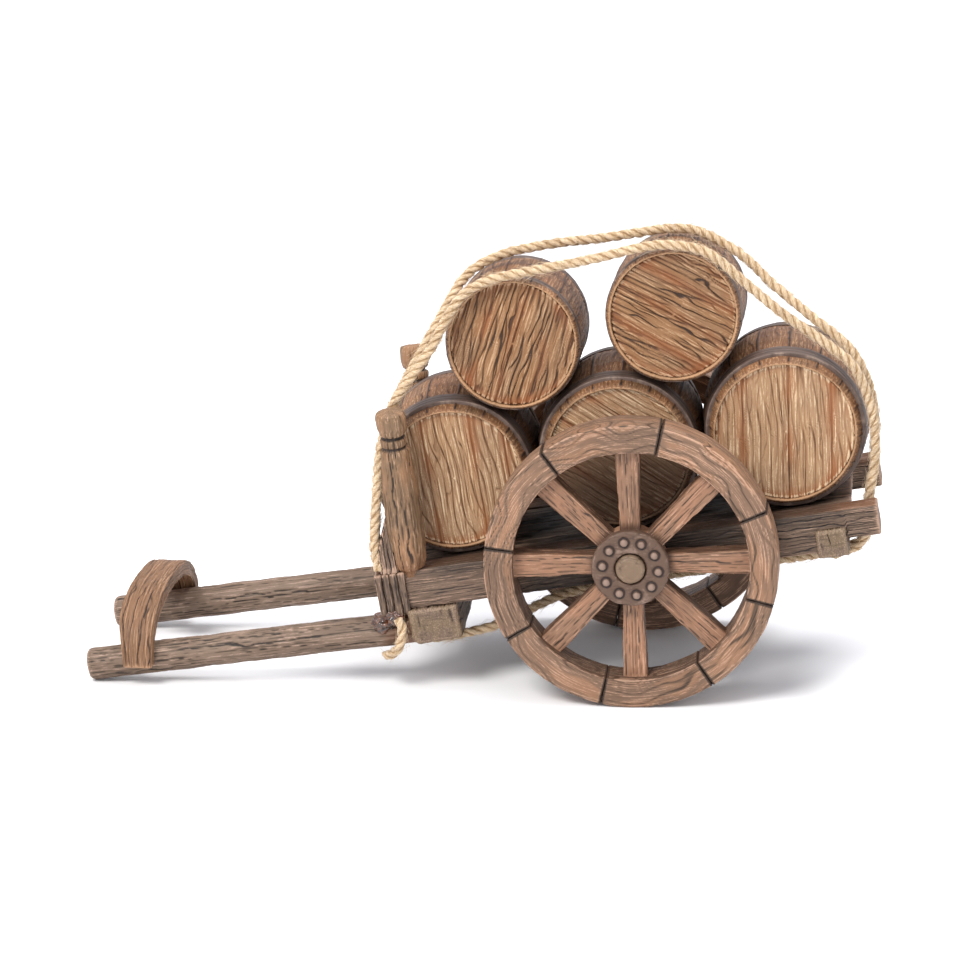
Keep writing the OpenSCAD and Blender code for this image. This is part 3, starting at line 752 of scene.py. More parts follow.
def binding(side):
    name = sided("beam_binding", side)
    outside, inside = side * (BEAM_OUT + BAND_OFF), side * (BEAM_IN - BAND_OFF)
    path = np.array([(outside, BAND_TOP), (outside, BAND_LOW), (inside, BAND_LOW), (inside, BAND_TOP)])
    seg = np.linalg.norm(np.diff(path, axis=0), axis=1)
    run = np.concatenate([[0], np.cumsum(seg)])
    strips = []
    for k in range(4):
        shape = box_outline((-0.92, -0.75), (0.92, 0.75), 0.25, 0.6)
        strip = bar(shape, run[-1], 0.3, 0.4)
        seed = 60 + k + (10 if side == RIGHT else 0)
        carve(strip, timber_lines(strip, seed, 0.6, 9), 0.3, 0.22, seed, 3.5)
        strip["place"] = led_round(path, run, -65.9 + 2 * k, side)
        strips.append(strip)
    return joined(name, strips, on_bed, TIMBER, nodes=[name])


def led_round(path, run, u, side):
    """A straight strip bent round a path of (across, up) points."""
    def way(p):
        s = np.clip(p[..., 0], 0, run[-1])
        sample = np.linspace(0, run[-1], 400)
        line = np.stack([np.interp(sample, run, path[:, i]) for i in (0, 1)], 1)
        kernel = np.hanning(19)[1:-1] / np.hanning(19)[1:-1].sum()
        line = np.stack([np.convolve(np.pad(line[:, i], 8, mode="edge"), kernel, "valid")
                         for i in (0, 1)], 1)
        head = np.gradient(line, axis=0)
        head = head / (np.linalg.norm(head, axis=1, keepdims=True) + 1e-9)
        at = [np.interp(s, sample, line[:, i]) for i in (0, 1)]
        go = [np.interp(s, sample, head[:, i]) for i in (0, 1)]
        out = (go[1] * side, -go[0] * side)
        over = p[..., 0] - s
        y = at[0] + out[0] * p[..., 2] + go[0] * over
        w = at[1] + out[1] * p[..., 2] + go[1] * over
        return on_bed(np.stack([u + p[..., 1], y, w], -1))
    return way


for side in (LEFT, RIGHT):
    binding(side)


# %% [markdown]
# ## Shafts
# The two shafts are rounded poles, a little uneven, whose tips rest on the ground. They are turned as round
# bars and then bent by a few tenths of a millimetre, so that no edge is dead straight.

# %% Shafts
SHAFT_R, SHAFT_SIDE, SHAFT_RISE, SHAFT_REACH, SHAFT_LONG = 4.15, 21.6, math.radians(7.9), 142.2, 86.5


def on_shaft(side):
    def way(p):
        x = p[..., 0] * math.cos(SHAFT_RISE) - p[..., 2] * math.sin(SHAFT_RISE)
        z = p[..., 0] * math.sin(SHAFT_RISE) + p[..., 2] * math.cos(SHAFT_RISE)
        return np.stack([AXLE_X - SHAFT_REACH + x, side * SHAFT_SIDE + p[..., 1],
                         SHAFT_R * math.cos(SHAFT_RISE) + z], -1)
    return way


def shaft(side):
    name = sided("shaft", side)
    piece = bar(round_outline(SHAFT_R, 0.33), SHAFT_LONG, soft=1.5)
    p = piece["p"]
    seed = 81 if side == LEFT else 85
    a, b, c = xyz(p)
    piece["stain_and_shade"] = 0.7 * smooth(a, 76, 84)
    carve(piece, timber_lines(piece, seed, 0.9, 24), 0.34, 0.2, seed)
    piece["p"][..., 2] -= 0.12 * noise(a / 17, 0, 0, seed) * smooth(a, 4, 20)
    return joined(name, [piece], on_shaft(side), SHAFT_WOOD, nodes=[name])


for side in (LEFT, RIGHT):
    shaft(side)


# %% [markdown]
# ## The yoke
# The yoke is a flat band of wood bent to an arch, with its feet over the two shafts. It is carved straight,
# so the cracks follow its length, and then bent round the arch.

# %% Yoke
YOKE_MID, YOKE_W, YOKE_FOOT, YOKE_TURN = 14.9, 9.6, 5.4, math.radians(-4.2)


def yoke_curve(half, rise, count=240):
    t = np.linspace(math.pi, 0, count)
    y = half * np.sign(np.cos(t)) * np.abs(np.cos(t)) ** (2 / 2.5)
    return np.stack([y, YOKE_FOOT + rise * np.abs(np.sin(t)) ** (2 / 2.5)], 1)


def even(line, count=240):
    run = np.concatenate([[0], np.cumsum(np.linalg.norm(np.diff(line, axis=0), axis=1))])
    s = np.linspace(0, run[-1], count)
    return np.stack([np.interp(s, run, line[:, i]) for i in range(line.shape[1])], 1), run[-1]


def yoke():
    outer, _ = even(yoke_curve(28.3, 17.1))
    inner, _ = even(yoke_curve(24.9, 13.4))
    middle, long = even((outer + inner) / 2)
    thick = np.linalg.norm(outer - inner, axis=1)
    head = np.gradient(middle, axis=0)
    head = head / np.linalg.norm(head, axis=1, keepdims=True)
    piece = bar(box_outline((-YOKE_W / 2, -1.8), (YOKE_W / 2, 1.8), soft=0.7), long, soft=0.5)
    p = piece["p"]
    near = np.minimum(p[..., 0], long - p[..., 0])
    p[..., 1] = np.where(p[..., 1] < 0, p[..., 1] * (1 - 0.42 * smooth(-near, -15, 0)), p[..., 1])
    carve(piece, timber_lines(piece, 91, 1.1, 22), 0.36, 0.2, 91)

    def bent(p):
        s = np.clip(p[..., 0], 0, long)
        at = s / long * (len(middle) - 1)
        index = np.arange(len(middle))
        y, z = (np.interp(at, index, middle[:, i]) for i in (0, 1))
        hy, hz = (np.interp(at, index, head[:, i]) for i in (0, 1))
        t = np.interp(at, index, thick) / 3.6
        over = p[..., 0] - s
        y = y - hz * p[..., 2] * t + hy * over
        z = z + hy * p[..., 2] * t + hz * over
        x = p[..., 1] * math.cos(YOKE_TURN) - y * math.sin(YOKE_TURN)
        y = p[..., 1] * math.sin(YOKE_TURN) + y * math.cos(YOKE_TURN)
        return np.stack([AXLE_X - SHAFT_REACH + YOKE_MID + x, y, z], -1)
    return joined("yoke", [piece], bent, YOKE_WOOD, nodes=["yoke"])


yoke()


# %% [markdown]
# ## Stakes and cheeks
# A turned stake stands at each front corner, fat below and with a knob on a grooved neck, and holds the
# load. Its long cracks run up the body. A wedge-shaped cheek braces its foot from in front.

# %% Stakes
STAKE_RINGS = [(0.02, -2), (2.2, -2), (2.6, 0), (3.6, 0.9), (4.3, 2.8), (4.75, 11), (4.7, 20), (4.1, 29),
               (3.75, 33.8), (3.0, 34.5), (3.3, 35.2), (3.4, 36.2), (3.3, 37.0), (2.75, 37.5), (3.4, 38.2),
               (3.85, 40), (3.95, 42.6), (3.5, 43.9), (2.4, 44.1), (0.02, 44.1)]
STAKE_LEAN = {LEFT: math.radians(7.6), RIGHT: math.radians(10)}
STAKE_LIFT = {LEFT: 0.0, RIGHT: 1.8}
STAKE_BACK = math.radians(3.7)


def on_stake(side):
    lean = -side * STAKE_LEAN[side]
    spin_x = np.array([[1, 0, 0], [0, math.cos(lean), -math.sin(lean)], [0, math.sin(lean), math.cos(lean)]])
    spin_y = np.array([[math.cos(STAKE_BACK), 0, math.sin(STAKE_BACK)], [0, 1, 0],
                       [-math.sin(STAKE_BACK), 0, math.cos(STAKE_BACK)]])
    turn = spin_x @ spin_y
    foot = np.array([-57.4, side * 23.0, 3.9])
    return lambda p: on_bed((p + np.array([0, 0, STAKE_LIFT[side]])) @ turn.T + foot)


def stake(side):
    name = sided("stake", side)
    piece = lathe(STAKE_RINGS, 88, 0.33, 0.35)
    p = piece["p"]
    x, y, z = xyz(p)
    seed = 101 if side == LEFT else 104
    round_it = np.arctan2(y, x) * 4.6
    line = np.maximum(strokes(z, round_it, seed, 2.1, 24, 0.26, 0.5),
                      0.6 * strokes(z, round_it, seed + 3, 1.0, 15, 0.17))
    line = np.maximum(line, 0.35 * strokes(z, round_it, seed + 7, 0.55, 9, 0.12, 0.7))
    line = np.where(z > 38.2, 0.5 * line, line)
    ring = np.exp(-((z - 34.6) / 0.4) ** 2) + np.exp(-((z - 37.4) / 0.4) ** 2)
    line = np.maximum(line, np.clip(ring, 0, 1))
    piece["grain"] = np.stack([z, x, y], -1) + 30 * chance(seed)
    piece["stain_and_shade"] = 0.5 * smooth(-z, -7, 0)
    carve(piece, line, 0.38, 0.3, seed, 7.0)
    return joined(name, [piece], on_stake(side), STAKE_WOOD, nodes=[name])


def cheek(side):
    name = sided("stake_cheek", side)
    section = [(-65, 3.9), (-60.3, 3.9), (-60.3, 18.6), (-61.2, 19.2), (-64.6, 10.5)]
    piece = bar(outline(section, soft=0.9), 5.8, soft=0.6)
    a, b, c = xyz(piece["p"])
    line = np.maximum(strokes(c, a + b, 111, 1.5, 14, 0.22), 0.5 * strokes(c, a + b, 114, 0.8, 10, 0.15))
    piece["grain"] = np.stack([c, b, a], -1)
    carve(piece, line, 0.35, 0.2, 111)
    low = -26.2 if side == LEFT else 20.4
    return joined(name, [piece], lambda p: on_bed(np.stack([p[..., 1], p[..., 0] + low, p[..., 2]], -1)),
                  TIMBER, nodes=[name])


for side in (LEFT, RIGHT):
    stake(side)
    cheek(side)


# %% [markdown]
# ## Metal
# Hoops, hub plates and nails are cast shapes painted to look like old iron: dusty brown, rubbed light along
# every edge. One finish serves them all, with wear and relief from the mesh and a fine pitted noise.

# %% Painted iron
def painted_iron(name, deep, body, rubbed, rough=0.55, metal=0.25):
    mat, n, shader = new_finish(name)
    pits = n.stretched((1.5, 1.5, 1.5), 1.0, 4.0, 0.65)
    cloud = n.stretched((0.25, 0.25, 0.25), 1.0, 2.0, 0.5)
    height = n.math("ADD", n.value("relief"), n.math("MULTIPLY", n.math("SUBTRACT", pits, 0.5), 0.7))
    colour = n.mix(n.ramp(height, 0.15, 0.75), paint(deep), paint(body))
    lifted = n.math("ADD", n.math("ADD", n.math("MULTIPLY", n.value("wear"), 0.5), height),
                    n.math("SUBTRACT", cloud, 0.5))
    colour = n.mix(n.math("MULTIPLY", n.ramp(lifted, 1.0, 1.45), 0.75), colour, paint(rubbed))
    n.join(colour, shader.inputs["Base Color"])
    shader.inputs["Metallic"].default_value = metal
    n.join(n.math("ADD", n.math("MULTIPLY", pits, 0.3), rough - 0.15), shader.inputs["Roughness"])
    n.bump(shader, pits, 0.00005, 0.6)
    return mat


HUB_IRON = painted_iron("hub_iron", "2a1a13", "584133", "8e7769", 0.6, 0.1)
BOSS_IRON = painted_iron("boss_iron", "423021", "705b47", "947f6b", 0.6, 0.1)
HOOP_IRON = painted_iron("hoop_iron", "2a1f18", "5b4940", "958071", 0.5, 0.15)


# %% [markdown]
# ## Wheels
# A cartwright's wheel: eight felloes make the rim, eight spokes are let into the nave, and a round plate
# with ten studs covers the nave. The grain of each felloe waves across it, as in a board sawn to a curve.

# %% Wheel places
def on_wheel(side):
    return lambda p: np.stack([AXLE_X + p[..., 0], side * (WHEEL_FACE + p[..., 2]), WHEEL_R + p[..., 1]], -1)


# %% Felloes
JOINTS = [24, 78, 127, 173, 212, 258, 304, 345]
RIM_IN, RIM_W, RIM_MID, JOINT_GAP = 30.1, 10.2, 33.8, 0.1


def felloe(side, k):
    start = math.radians(JOINTS[k])
    sweep = math.radians((JOINTS[(k + 1) % 8] - JOINTS[k]) % 360)
    gap = JOINT_GAP / RIM_MID
    long = (sweep - gap) * RIM_MID
    piece = bar(box_outline((RIM_IN, -RIM_W), (WHEEL_R - 0.05, 0), 0.33, 0.75), long, 0.33, 0.35)
    p = piece["p"]
    seed = 200 + k + (20 if side == RIGHT else 0)
    a, b, c = p[..., 0] - long / 2, p[..., 1] - RIM_MID, p[..., 2]
    lean = 0.34 * (chance(seed) - 0.5)
    offset = 1.0 + 3 * chance(seed + 1)
    line = 0.75 * cathedral(a, b, c, seed, 1.15, lean, 3.4, 10, 0.34, offset)
    turns = rings(a, b, c, seed, 2.3, lean, 3.4, 10, offset)
    drift = 2.0 * noise(a / 9, b / 3, c / 3, seed + 4)
    piece["band"] = smooth(np.cos(2 * math.pi * turns + drift), -0.2, 0.8)
    line = np.maximum(line, 0.35 * cathedral(a, b, c, seed, 0.575, lean, 3.4, 10, 0.4, offset))
    line = np.where(np.abs(p[..., 1] - RIM_IN) < 0.6, 0.5 * line, line)
    # Painted shade: the rim's inner face and the face turned to the cart are darkened with the stain colour.
    inner = smooth(-(p[..., 1] - RIM_IN), -0.9, -0.2)
    piece["stain_and_shade"] = 0.85 * inner + 0.5 * (p[..., 2] < -RIM_W + 0.3)
    near = np.minimum(a - a.min(), a.max() - a)
    piece["relief"] = smooth(near, 0.3, 0.75)
    carve(piece, line, 0.22, 0.16, seed, 5.0)

    def way(p):
        angle = start + gap / 2 + p[..., 0] / RIM_MID
        return on_wheel(side)(np.stack([p[..., 1] * np.cos(angle), p[..., 1] * np.sin(angle), p[..., 2]], -1))
    piece["place"] = way
    return piece


def spoke(side, k):
    angle = math.radians(2 + 45 * k)
    piece = bar(box_outline((-3.0, -8.6), (3.0, -3.0), 0.3, 0.6), 22.6, 0.3, 0.2, (4, 4))
    p = piece["p"]
    far = smooth(p[..., 0], 0, 22)
    p[..., 1] *= 0.84 + 0.2 * far
    a, c = p[..., 0], p[..., 2]
    seed = 240 + k + (20 if side == RIGHT else 0)
    line = timber_lines(piece, seed, 0.72, 20, 0.7)
    # Painted shade: each spoke is darkened next to the nave and on the half turned to the cart.
    piece["stain_and_shade"] = np.maximum(0.9 * smooth(-a, -3.4, -0.8), 0.8 * (c < -4.2))
    carve(piece, 0.72 * line, 0.34, 0.18, seed, 5.0)

    def way(p):
        x = 8.2 + p[..., 0]
        return on_wheel(side)(np.stack([x * math.cos(angle) - p[..., 1] * math.sin(angle),
                                        x * math.sin(angle) + p[..., 1] * math.cos(angle), p[..., 2]], -1))
    piece["place"] = way
    return piece


for side in (LEFT, RIGHT):
    for part, make, wood in (("felloe", felloe, FELLOE_WOOD), ("spoke", spoke, SPOKE_WOOD)):
        name = sided(part + "s", side)
        joined(name, [make(side, k) for k in range(8)], None, wood, sided("wheel", side), [name])


# %% Nave, plate and studs
STUDS, STUD_CIRCLE, FIRST_STUD = 10, 7.1, -5


def stud_place(k):
    a = math.radians(FIRST_STUD + 360 / STUDS * k)
    return STUD_CIRCLE * math.cos(a), STUD_CIRCLE * math.sin(a)


def nave():
    piece = lathe([(2.3, -10.25), (8.2, -10.25), (8.8, -9.6), (8.8, -1.2), (2.3, -1.2)], 120, 0.4, 0.3, True)
    p = piece["p"]
    line = furrows(p[..., 2], p[..., 0], p[..., 1], 301, 1.6, 12)
    carve(piece, line, 0.25, 0.1, 301)
    return piece


def hub_plate():
    """The plate is thin, with a raised ring round the middle and a shallow dish round each stud."""
    piece = lathe([(4.0, -1.2), (9.9, -1.2), (9.9, 0.7), (9.6, 1.05), (8.9, 1.12), (5.6, 1.0), (5.0, 1.12),
                   (4.4, 1.15), (4.0, 0.7)], 190, 0.22, 0.3, True)
    p = piece["p"]
    x, y, z = xyz(p)
    dish = 0
    for k in range(STUDS):
        stud_x, stud_y = stud_place(k)
        d = np.hypot(x - stud_x, y - stud_y)
        dish = np.maximum(dish, np.exp(-((d - 1.25) / 0.36) ** 2) * (z > 0.3))
    scratch = 0.5 * furrows(x, y, z, 305, 1.1, 5)
    carve(piece, np.maximum(dish, scratch), 0.28, 0.12, 306, 2.6)
    return piece


def stud(k):
    piece = lathe([(0.42, -1.8), (0.45, 0.6), (1.0, 0.85), (1.0, 1.2), (0.8, 1.62), (0.4, 1.85), (0.02, 1.9)],
                  26, 0.16, 0.2)
    piece["p"] = piece["p"] + 0.05 * noise(*np.moveaxis(piece["p"] * 1.5 + 9 * k, -1, 0), 310)[..., None]
    piece["grain"] = piece["p"] + 3.0 * k
    piece["relief"] = smooth(piece["p"][..., 2], 0.7, 1.3)
    piece["wear"] = smooth(piece["p"][..., 2], 1.1, 1.7)
    piece["p"] = piece["p"] + np.array([*stud_place(k), 0.0])
    return piece


def axle_cap(side):
    name = sided("axle_cap", side)
    piece = lathe([(0.02, -1), (2.6, -1), (3.7, -0.8), (3.75, 1.2), (3.5, 1.75), (2.9, 1.95), (2.2, 1.8),
                   (0.02, 1.9)], 90, 0.18, 0.25)
    p = piece["p"]
    dents = 0.6 * furrows(*xyz(p), 321, 1.3, 4)
    carve(piece, dents, 0.12, 0.07, 322, 1.6)
    return joined(name, [piece], on_wheel(side), BOSS_IRON, "cart", [name])


for side in (LEFT, RIGHT):
    studs = [stud(k) for k in range(STUDS)]
    for part, pieces, finish in (("nave", [nave()], SPOKE_WOOD), ("hub_plate", [hub_plate()], HUB_IRON),
                                 ("hub_nails", studs, HUB_IRON)):
        name = sided(part, side)
        joined(name, pieces, on_wheel(side), finish, sided("wheel", side), [name])
    axle_cap(side)


# %% [markdown]
# ## Barrels
# Every barrel is a ring of staves held by two hoops, with a boarded head at each end. The shell is a turned
# profile with a deep cut at each stave joint; the heads are discs carved with eyes and long strokes.

# %% Barrel sizes
BARRELS = {
    "front_barrel": dict(at=(-43.3, 1.0, 24.15), tilt=0, low=True, seams=[-6.1, 6.4, 14.5], turn=0, seed=400),
    "middle_barrel": dict(at=(-0.3, 1.0, 24.15), tilt=0, low=True, seams=[-9, 0, 9], turn=48, seed=420),
    "rear_barrel": dict(at=(42.7, 1.0, 24.15), tilt=0, low=True, seams=[-10.8, 0.9, 11.8], turn=-8, seed=440),
    "top_front_barrel": dict(at=(-22.2, -0.7, 56.2), tilt=3.5, low=False, seams=[-8, 0, 8], turn=-26,
                             seed=460),
    "top_rear_barrel": dict(at=(19.4, -0.7, 57.2), tilt=4.6, low=False, seams=[-8, 0, 8], turn=52, seed=480),
}
END_R, BELLY, HALF = {True: 18.6, False: 16.9}, {True: 2.75, False: 0.35}, {True: 18.2, False: 16.5}
CHIME, STAVES = {True: 0.8, False: 0.95}, {True: 16, False: 14}
HOOP_FROM, HOOP_TO = {True: 2.8, False: 1.6}, {True: 7.4, False: 4.8}
HOOP_THICK = {True: (0.95, 0.4), False: (0.3, 0.2)}
HEAD_IN = 1.1


def on_barrel(spec):
    turn = math.radians(90 - spec["tilt"])
    s, c = math.sin(turn), math.cos(turn)

    def way(p):
        x, y, z = xyz(p)
        return on_bed(np.stack([x, y * c - z * s, y * s + z * c], -1) + np.array(spec["at"]))
    return way


def bulge(z, low):
    """How far the staves stand out beyond the barrel's end, at a height from its middle."""
    knots = np.array([-1, -0.66, -0.25, 0.25, 0.66, 1]) * HALF[low]
    return np.interp(z, knots, np.array([0, 0.62, 1, 1, 0.62, 0]) * BELLY[low])


# %% Staves
def stave_shell(name, spec):
    low = spec["low"]
    r, h, t = END_R[low], HALF[low], CHIME[low]
    outer = [(r + float(bulge(z, low)), z) for z in np.linspace(h - 1.2, 1.2 - h, 15)]
    ends = [(r - t - 0.1, h - 2.2), (r - t, h - 0.2), (r - t + 0.25, h), (r - 0.4, h - 0.1)]
    back = [(x, -z) for x, z in reversed(ends)]
    inside = [(r - t - 0.4, 4 - h), (r - t - 0.4, h - 4)]
    piece = lathe(ends + outer + back + inside, 460, 0.36, 0.4, True)
    p = piece["p"]
    x, y, z = xyz(p)
    angle = np.arctan2(y, x)
    radius = np.hypot(x, y)
    n = STAVES[low]
    which = np.mod(angle / (2 * math.pi) * n - 0.5 + 0.05 * noise(z / 14, angle * 0, 0, spec["seed"]), n)
    index = np.floor(which).astype(int)
    off = np.minimum(which - index, 1 + index - which) * 2 * math.pi * r / n
    joint = np.exp(-(off / 0.26) ** 2)
    along, around = z, angle * r
    line = np.maximum(0.7 * strokes(along + 40 * index, around, spec["seed"], 1.9, 16, 0.2, 0.35),
                      0.45 * strokes(along + 40 * index, around, spec["seed"] + 3, 0.9, 10, 0.15, 0.55))
    face = smooth(np.abs(z), h - 0.9, h - 0.3)
    line = np.where(face > 0.5, 0.5 * line, line)
    line = np.maximum(line, joint * np.where(face > 0.5, 0.25, 1))
    piece["grain"] = np.stack([along + 5 * index, around, radius], -1)
    tones = np.array([chance(spec["seed"] + i) for i in range(n + 1)])
    piece["tone"] = tones[index]
    rim = smooth(np.abs(z), h - 2.6, h - 1.0)
    piece["stain_and_shade"] = 0.55 * (1 - rim) * smooth(noise(z / 7, x / 9, y / 9, spec["seed"] + 5), -0.1, 0.5)
    lip = np.exp(-((radius - (r - t + 0.1)) / 0.25) ** 2) * face
    piece["wear"] = np.maximum(0.3 * piece["wear"], 2.6 * lip)
    carve(piece, line, 0.34, 0.13, spec["seed"] + 6)
    return joined(name + "_staves", [piece], on_barrel(spec), STAVE_WOOD, "cart", [name + "_staves"])


# %% Heads
def head(name, spec, near):
    low = spec["low"]
    r = END_R[low] - CHIME[low] - 0.08
    step = 0.22 if near else 0.4
    piece = bar(round_outline(r, step), 1.6, step, 0.12, (12, 0))
    p = piece["p"]
    turn = math.radians(spec["turn"] if near else -spec["turn"] * 0.7 + 10)
    x = np.where(near, p[..., 1], -p[..., 1])
    x, y, z = x.copy(), p[..., 2].copy(), p[..., 0].copy()
    across = x * math.cos(turn) + y * math.sin(turn)
    along = -x * math.sin(turn) + y * math.cos(turn)
    cuts = np.array(spec["seams"]) if near else np.array(spec["seams"]) * 0.95 + 0.6
    board = np.searchsorted(cuts, across.ravel()).reshape(across.shape)
    mid = np.concatenate([[cuts[0] - 5], (cuts[1:] + cuts[:-1]) / 2, [cuts[-1] + 4]])[board]
    seed = spec["seed"] + (0 if near else 7)
    wavy = across + 0.25 * noise(along / 6, board * 3.0, 0, seed)
    gap = np.min(np.abs(wavy[..., None] - cuts), -1)
    seam = np.exp(-(gap / 0.24) ** 2)
    eye = cathedral(along + 9 * (chance(seed) - 0.5) + 4 * board, across - mid, 0.0 * across, seed + 2,
                    1.5, 0.08, 2.2, 16, 0.3, 1.0)
    stroke = strokes(along + 50 * board, across, seed + 3, 1.6, 20, 0.17 if low else 0.24, 0.5, 0.7)
    fine = strokes(along + 50 * board, across, seed + 5, 0.75, 12, 0.13, 0.6, 0.7)
    strength = 0.7 if low else 0.85
    line = np.maximum.reduce([strength * eye, (0.5 if low else 0.95) * stroke, 0.35 * fine, seam])
    radius = np.hypot(x, y)
    edge = smooth(radius, r - 3.2, r)
    side_stain = np.exp(-(gap / 1.5) ** 2) * smooth(noise(along / 9, across / 5, 0, seed + 8), -0.4, 0.4)
    foot = smooth(-y, r * 0.45, r * 0.95)
    piece["stain_and_shade"] = np.clip(0.45 * edge * smooth(noise(x / 6, y / 6, 0, seed), -0.5, 0.3) + 0.7 * side_stain
                             + 0.5 * foot * edge, 0, 0.9)
    piece["tone"] = 0.2 + 0.6 * np.array([chance(seed + i) for i in range(9)])[board]
    piece["grain"] = np.stack([along + 9 * board, across, z], -1)
    piece["wear"] = np.clip(1.3 * smooth(radius, r - 1.0, r - 0.3), 0, 1)
    carve(piece, line, 0.36 if low else 0.42, 0.16, seed)
    p = piece["p"]
    depth = HALF[low] - HEAD_IN - 1.6
    if near:
        piece["p"] = np.stack([p[..., 1], p[..., 2], depth + p[..., 0]], -1)
    else:
        piece["p"] = np.stack([p[..., 1], p[..., 2], -depth - p[..., 0]], -1)
    full = name + ("_near_head" if near else "_far_head")
    return joined(full, [piece], on_barrel(spec), LOW_HEAD_WOOD if low else TOP_HEAD_WOOD, "cart", [full])


# %% Hoops
def hoops(name, spec):
    low = spec["low"]
    h, r = HALF[low], END_R[low]
    pair = []
    for end in (1, -1):
        z0, z1 = h - HOOP_FROM[low], h - HOOP_TO[low]
        r0, r1 = r + float(bulge(z0, low)), r + float(bulge(z1, low))
        t0, t1 = HOOP_THICK[low]
        piece = lathe([(r0 - 0.5, z0), (r0 + t0, z0), (r1 + t1, z1), (r1 - 0.5, z1)], 300, 0.22, 0.4, True)
        p = piece["p"]
        x, y, z = xyz(p)
        share = (z - z1) / (z0 - z1)
        groove = np.exp(-((share - 0.36) / 0.07) ** 2) + np.exp(-((share - 0.68) / 0.07) ** 2)
        seed = spec["seed"] + 11 + end
        around = np.arctan2(y, x) * r
        line = np.maximum(0.7 * np.clip(groove, 0, 1), 0.5 * furrows(around, z, 0 * x, seed, 0.9, 9))
        piece["grain"] = np.stack([around, z, 0 * x + 5 * end], -1)
        carve(piece, line, 0.16, 0.1, seed, 5.0)
        piece["p"] = piece["p"] * np.array([1, 1, end])
        pair.append(piece)
    return joined(name + "_hoops", pair, on_barrel(spec), HOOP_IRON, "cart", [name + "_hoops"])


for name, spec in BARRELS.items():
    stave_shell(name, spec)
    head(name, spec, True)
    head(name, spec, False)
    hoops(name, spec)


# %% [markdown]
# ## Twine
# The load is tied with real jute twine: three plies laid round each other, each a bundle of fibres twisted
# the other way. One plain tube would look flat, so each ply is its own tube led round the strand's centre
# line, and loose fibres stand off it.

# %% Twine routes
ROUTES = {
    "rope_near_strand": [
        (-66.5, -25, 5.2), (-66.6, -25, 11), (-65, -25, 19), (-62.4, -25, 29.5), (-60.2, -24.6, 36.5),
        (-57.4, -23.6, 43), (-54, -23, 48), (-48, -22, 54.5), (-42.3, -21, 60.3), (-37.3, -19.8, 67),
        (-32.8, -18.6, 71.8), (-28, -18.3, 74.3), (-22.2, -18.3, 75.4), (-15.5, -17.8, 75.7),
        (-7, -17.2, 75.9), (3.5, -16.9, 76.4), (13.4, -16.7, 77.3), (20.4, -16.6, 77.1),
        (28.3, -16.6, 74.8), (33.2, -16.6, 71), (37.4, -16.6, 66), (46.7, -16.8, 55.3),
        (57.3, -17, 45), (62.7, -17, 38.2), (65.3, -16.4, 26.6), (64.2, -15.8, 14),
        (61.4, -15.5, 4.5), (60.6, -15.5, -1)],
    "rope_far_strand": [
        (-66.5, -21.8, 5.2), (-66.6, -21.8, 11), (-65.2, -21.8, 19), (-62.8, -21.8, 29.5),
        (-60.8, -21.2, 36.5), (-57.2, -20.2, 44), (-52.2, -18.8, 50.2), (-42.8, -14, 62),
        (-37.3, -7.6, 68.8), (-33.8, -1.6, 72.2), (-30, 2, 74.3), (-25, 3.6, 75.7), (-19, 4.6, 76.4),
        (-8, 5, 76.6), (2, 5, 76.2), (12, 5, 76.2), (21, 5, 76), (28.4, 4, 74), (37.8, 1, 67.3),
        (44.5, -3, 59.8), (53, -8, 51.4), (61.4, -11.5, 43), (64.8, -12.8, 35), (65.6, -13, 25.5),
        (63.9, -12.4, 13), (61.2, -12.4, 4), (60.2, -12.4, -3.5), (57.4, -12.4, -8.4),
        (52.5, -12.4, -9.5)],
    "rope_under_strand": [
        (-65, -15.6, -9.6), (-64.2, -15.6, -13.5), (-61, -15.8, -16.8), (-56, -16, -17.6),
        (-46.4, -16, -17.4), (-38.4, -15, -16.6), (-29, -13.8, -13.8), (-20, -13.2, -11.4),
        (-6, -13.2, -10.4), (12, -14, -9.9), (32, -14.8, -9.7), (48, -15.4, -9.5), (55, -15.5, -9.2),
        (58.8, -15.5, -6), (60.6, -15.5, -1.1)],
    "rope_tail": [
        (-62.4, -26.6, -8), (-61.8, -27.5, -10.5), (-62.4, -27.8, -13.2), (-64, -27.2, -15.9),
        (-66.2, -25.4, -17.6), (-67.8, -23.2, -18.2)],
}
PLY_R, PLY_OFF, LAY = 0.78, 0.52, 8.6
FRONT_END, FRONT_SHIFT = -56, 1.2


def curve_through(points, step):
    """An even line of points on a smooth curve through the given ones."""
    p = np.array(points, float)
    p = np.concatenate([2 * p[:1] - p[1:2], p, 2 * p[-1:] - p[-2:-1]])
    t = np.linspace(0, 1, 24, endpoint=False)[:, None]
    parts = []
    for i in range(1, len(p) - 2):
        a, b, c, d = p[i - 1], p[i], p[i + 1], p[i + 2]
        parts.append(0.5 * (2 * b + (c - a) * t + (2 * a - 5 * b + 4 * c - d) * t ** 2
                            + (3 * b - 3 * c + d - a) * t ** 3))
    line = np.concatenate(parts + [p[-2:-1]])
    run = np.concatenate([[0], np.cumsum(np.linalg.norm(np.diff(line, axis=0), axis=1))])
    s = np.linspace(0, run[-1], max(8, int(run[-1] / step)))
    return np.stack([np.interp(s, run, line[:, i]) for i in range(3)], 1), run[-1]


def unit(v):
    return v / (np.linalg.norm(v, axis=-1, keepdims=True) + 1e-12)


def carried_frame(line):
    """Two directions square to a line that turn with it and never flip."""
    head = unit(np.gradient(line, axis=0))
    side = np.zeros_like(head)
    side[0] = unit(np.cross(head[0], [0.3, 1.0, 0.2]))
    for i in range(1, len(line)):
        v = side[i - 1] - head[i] * np.dot(side[i - 1], head[i])
        side[i] = v / np.linalg.norm(v)
    return head, side, np.cross(head, side)


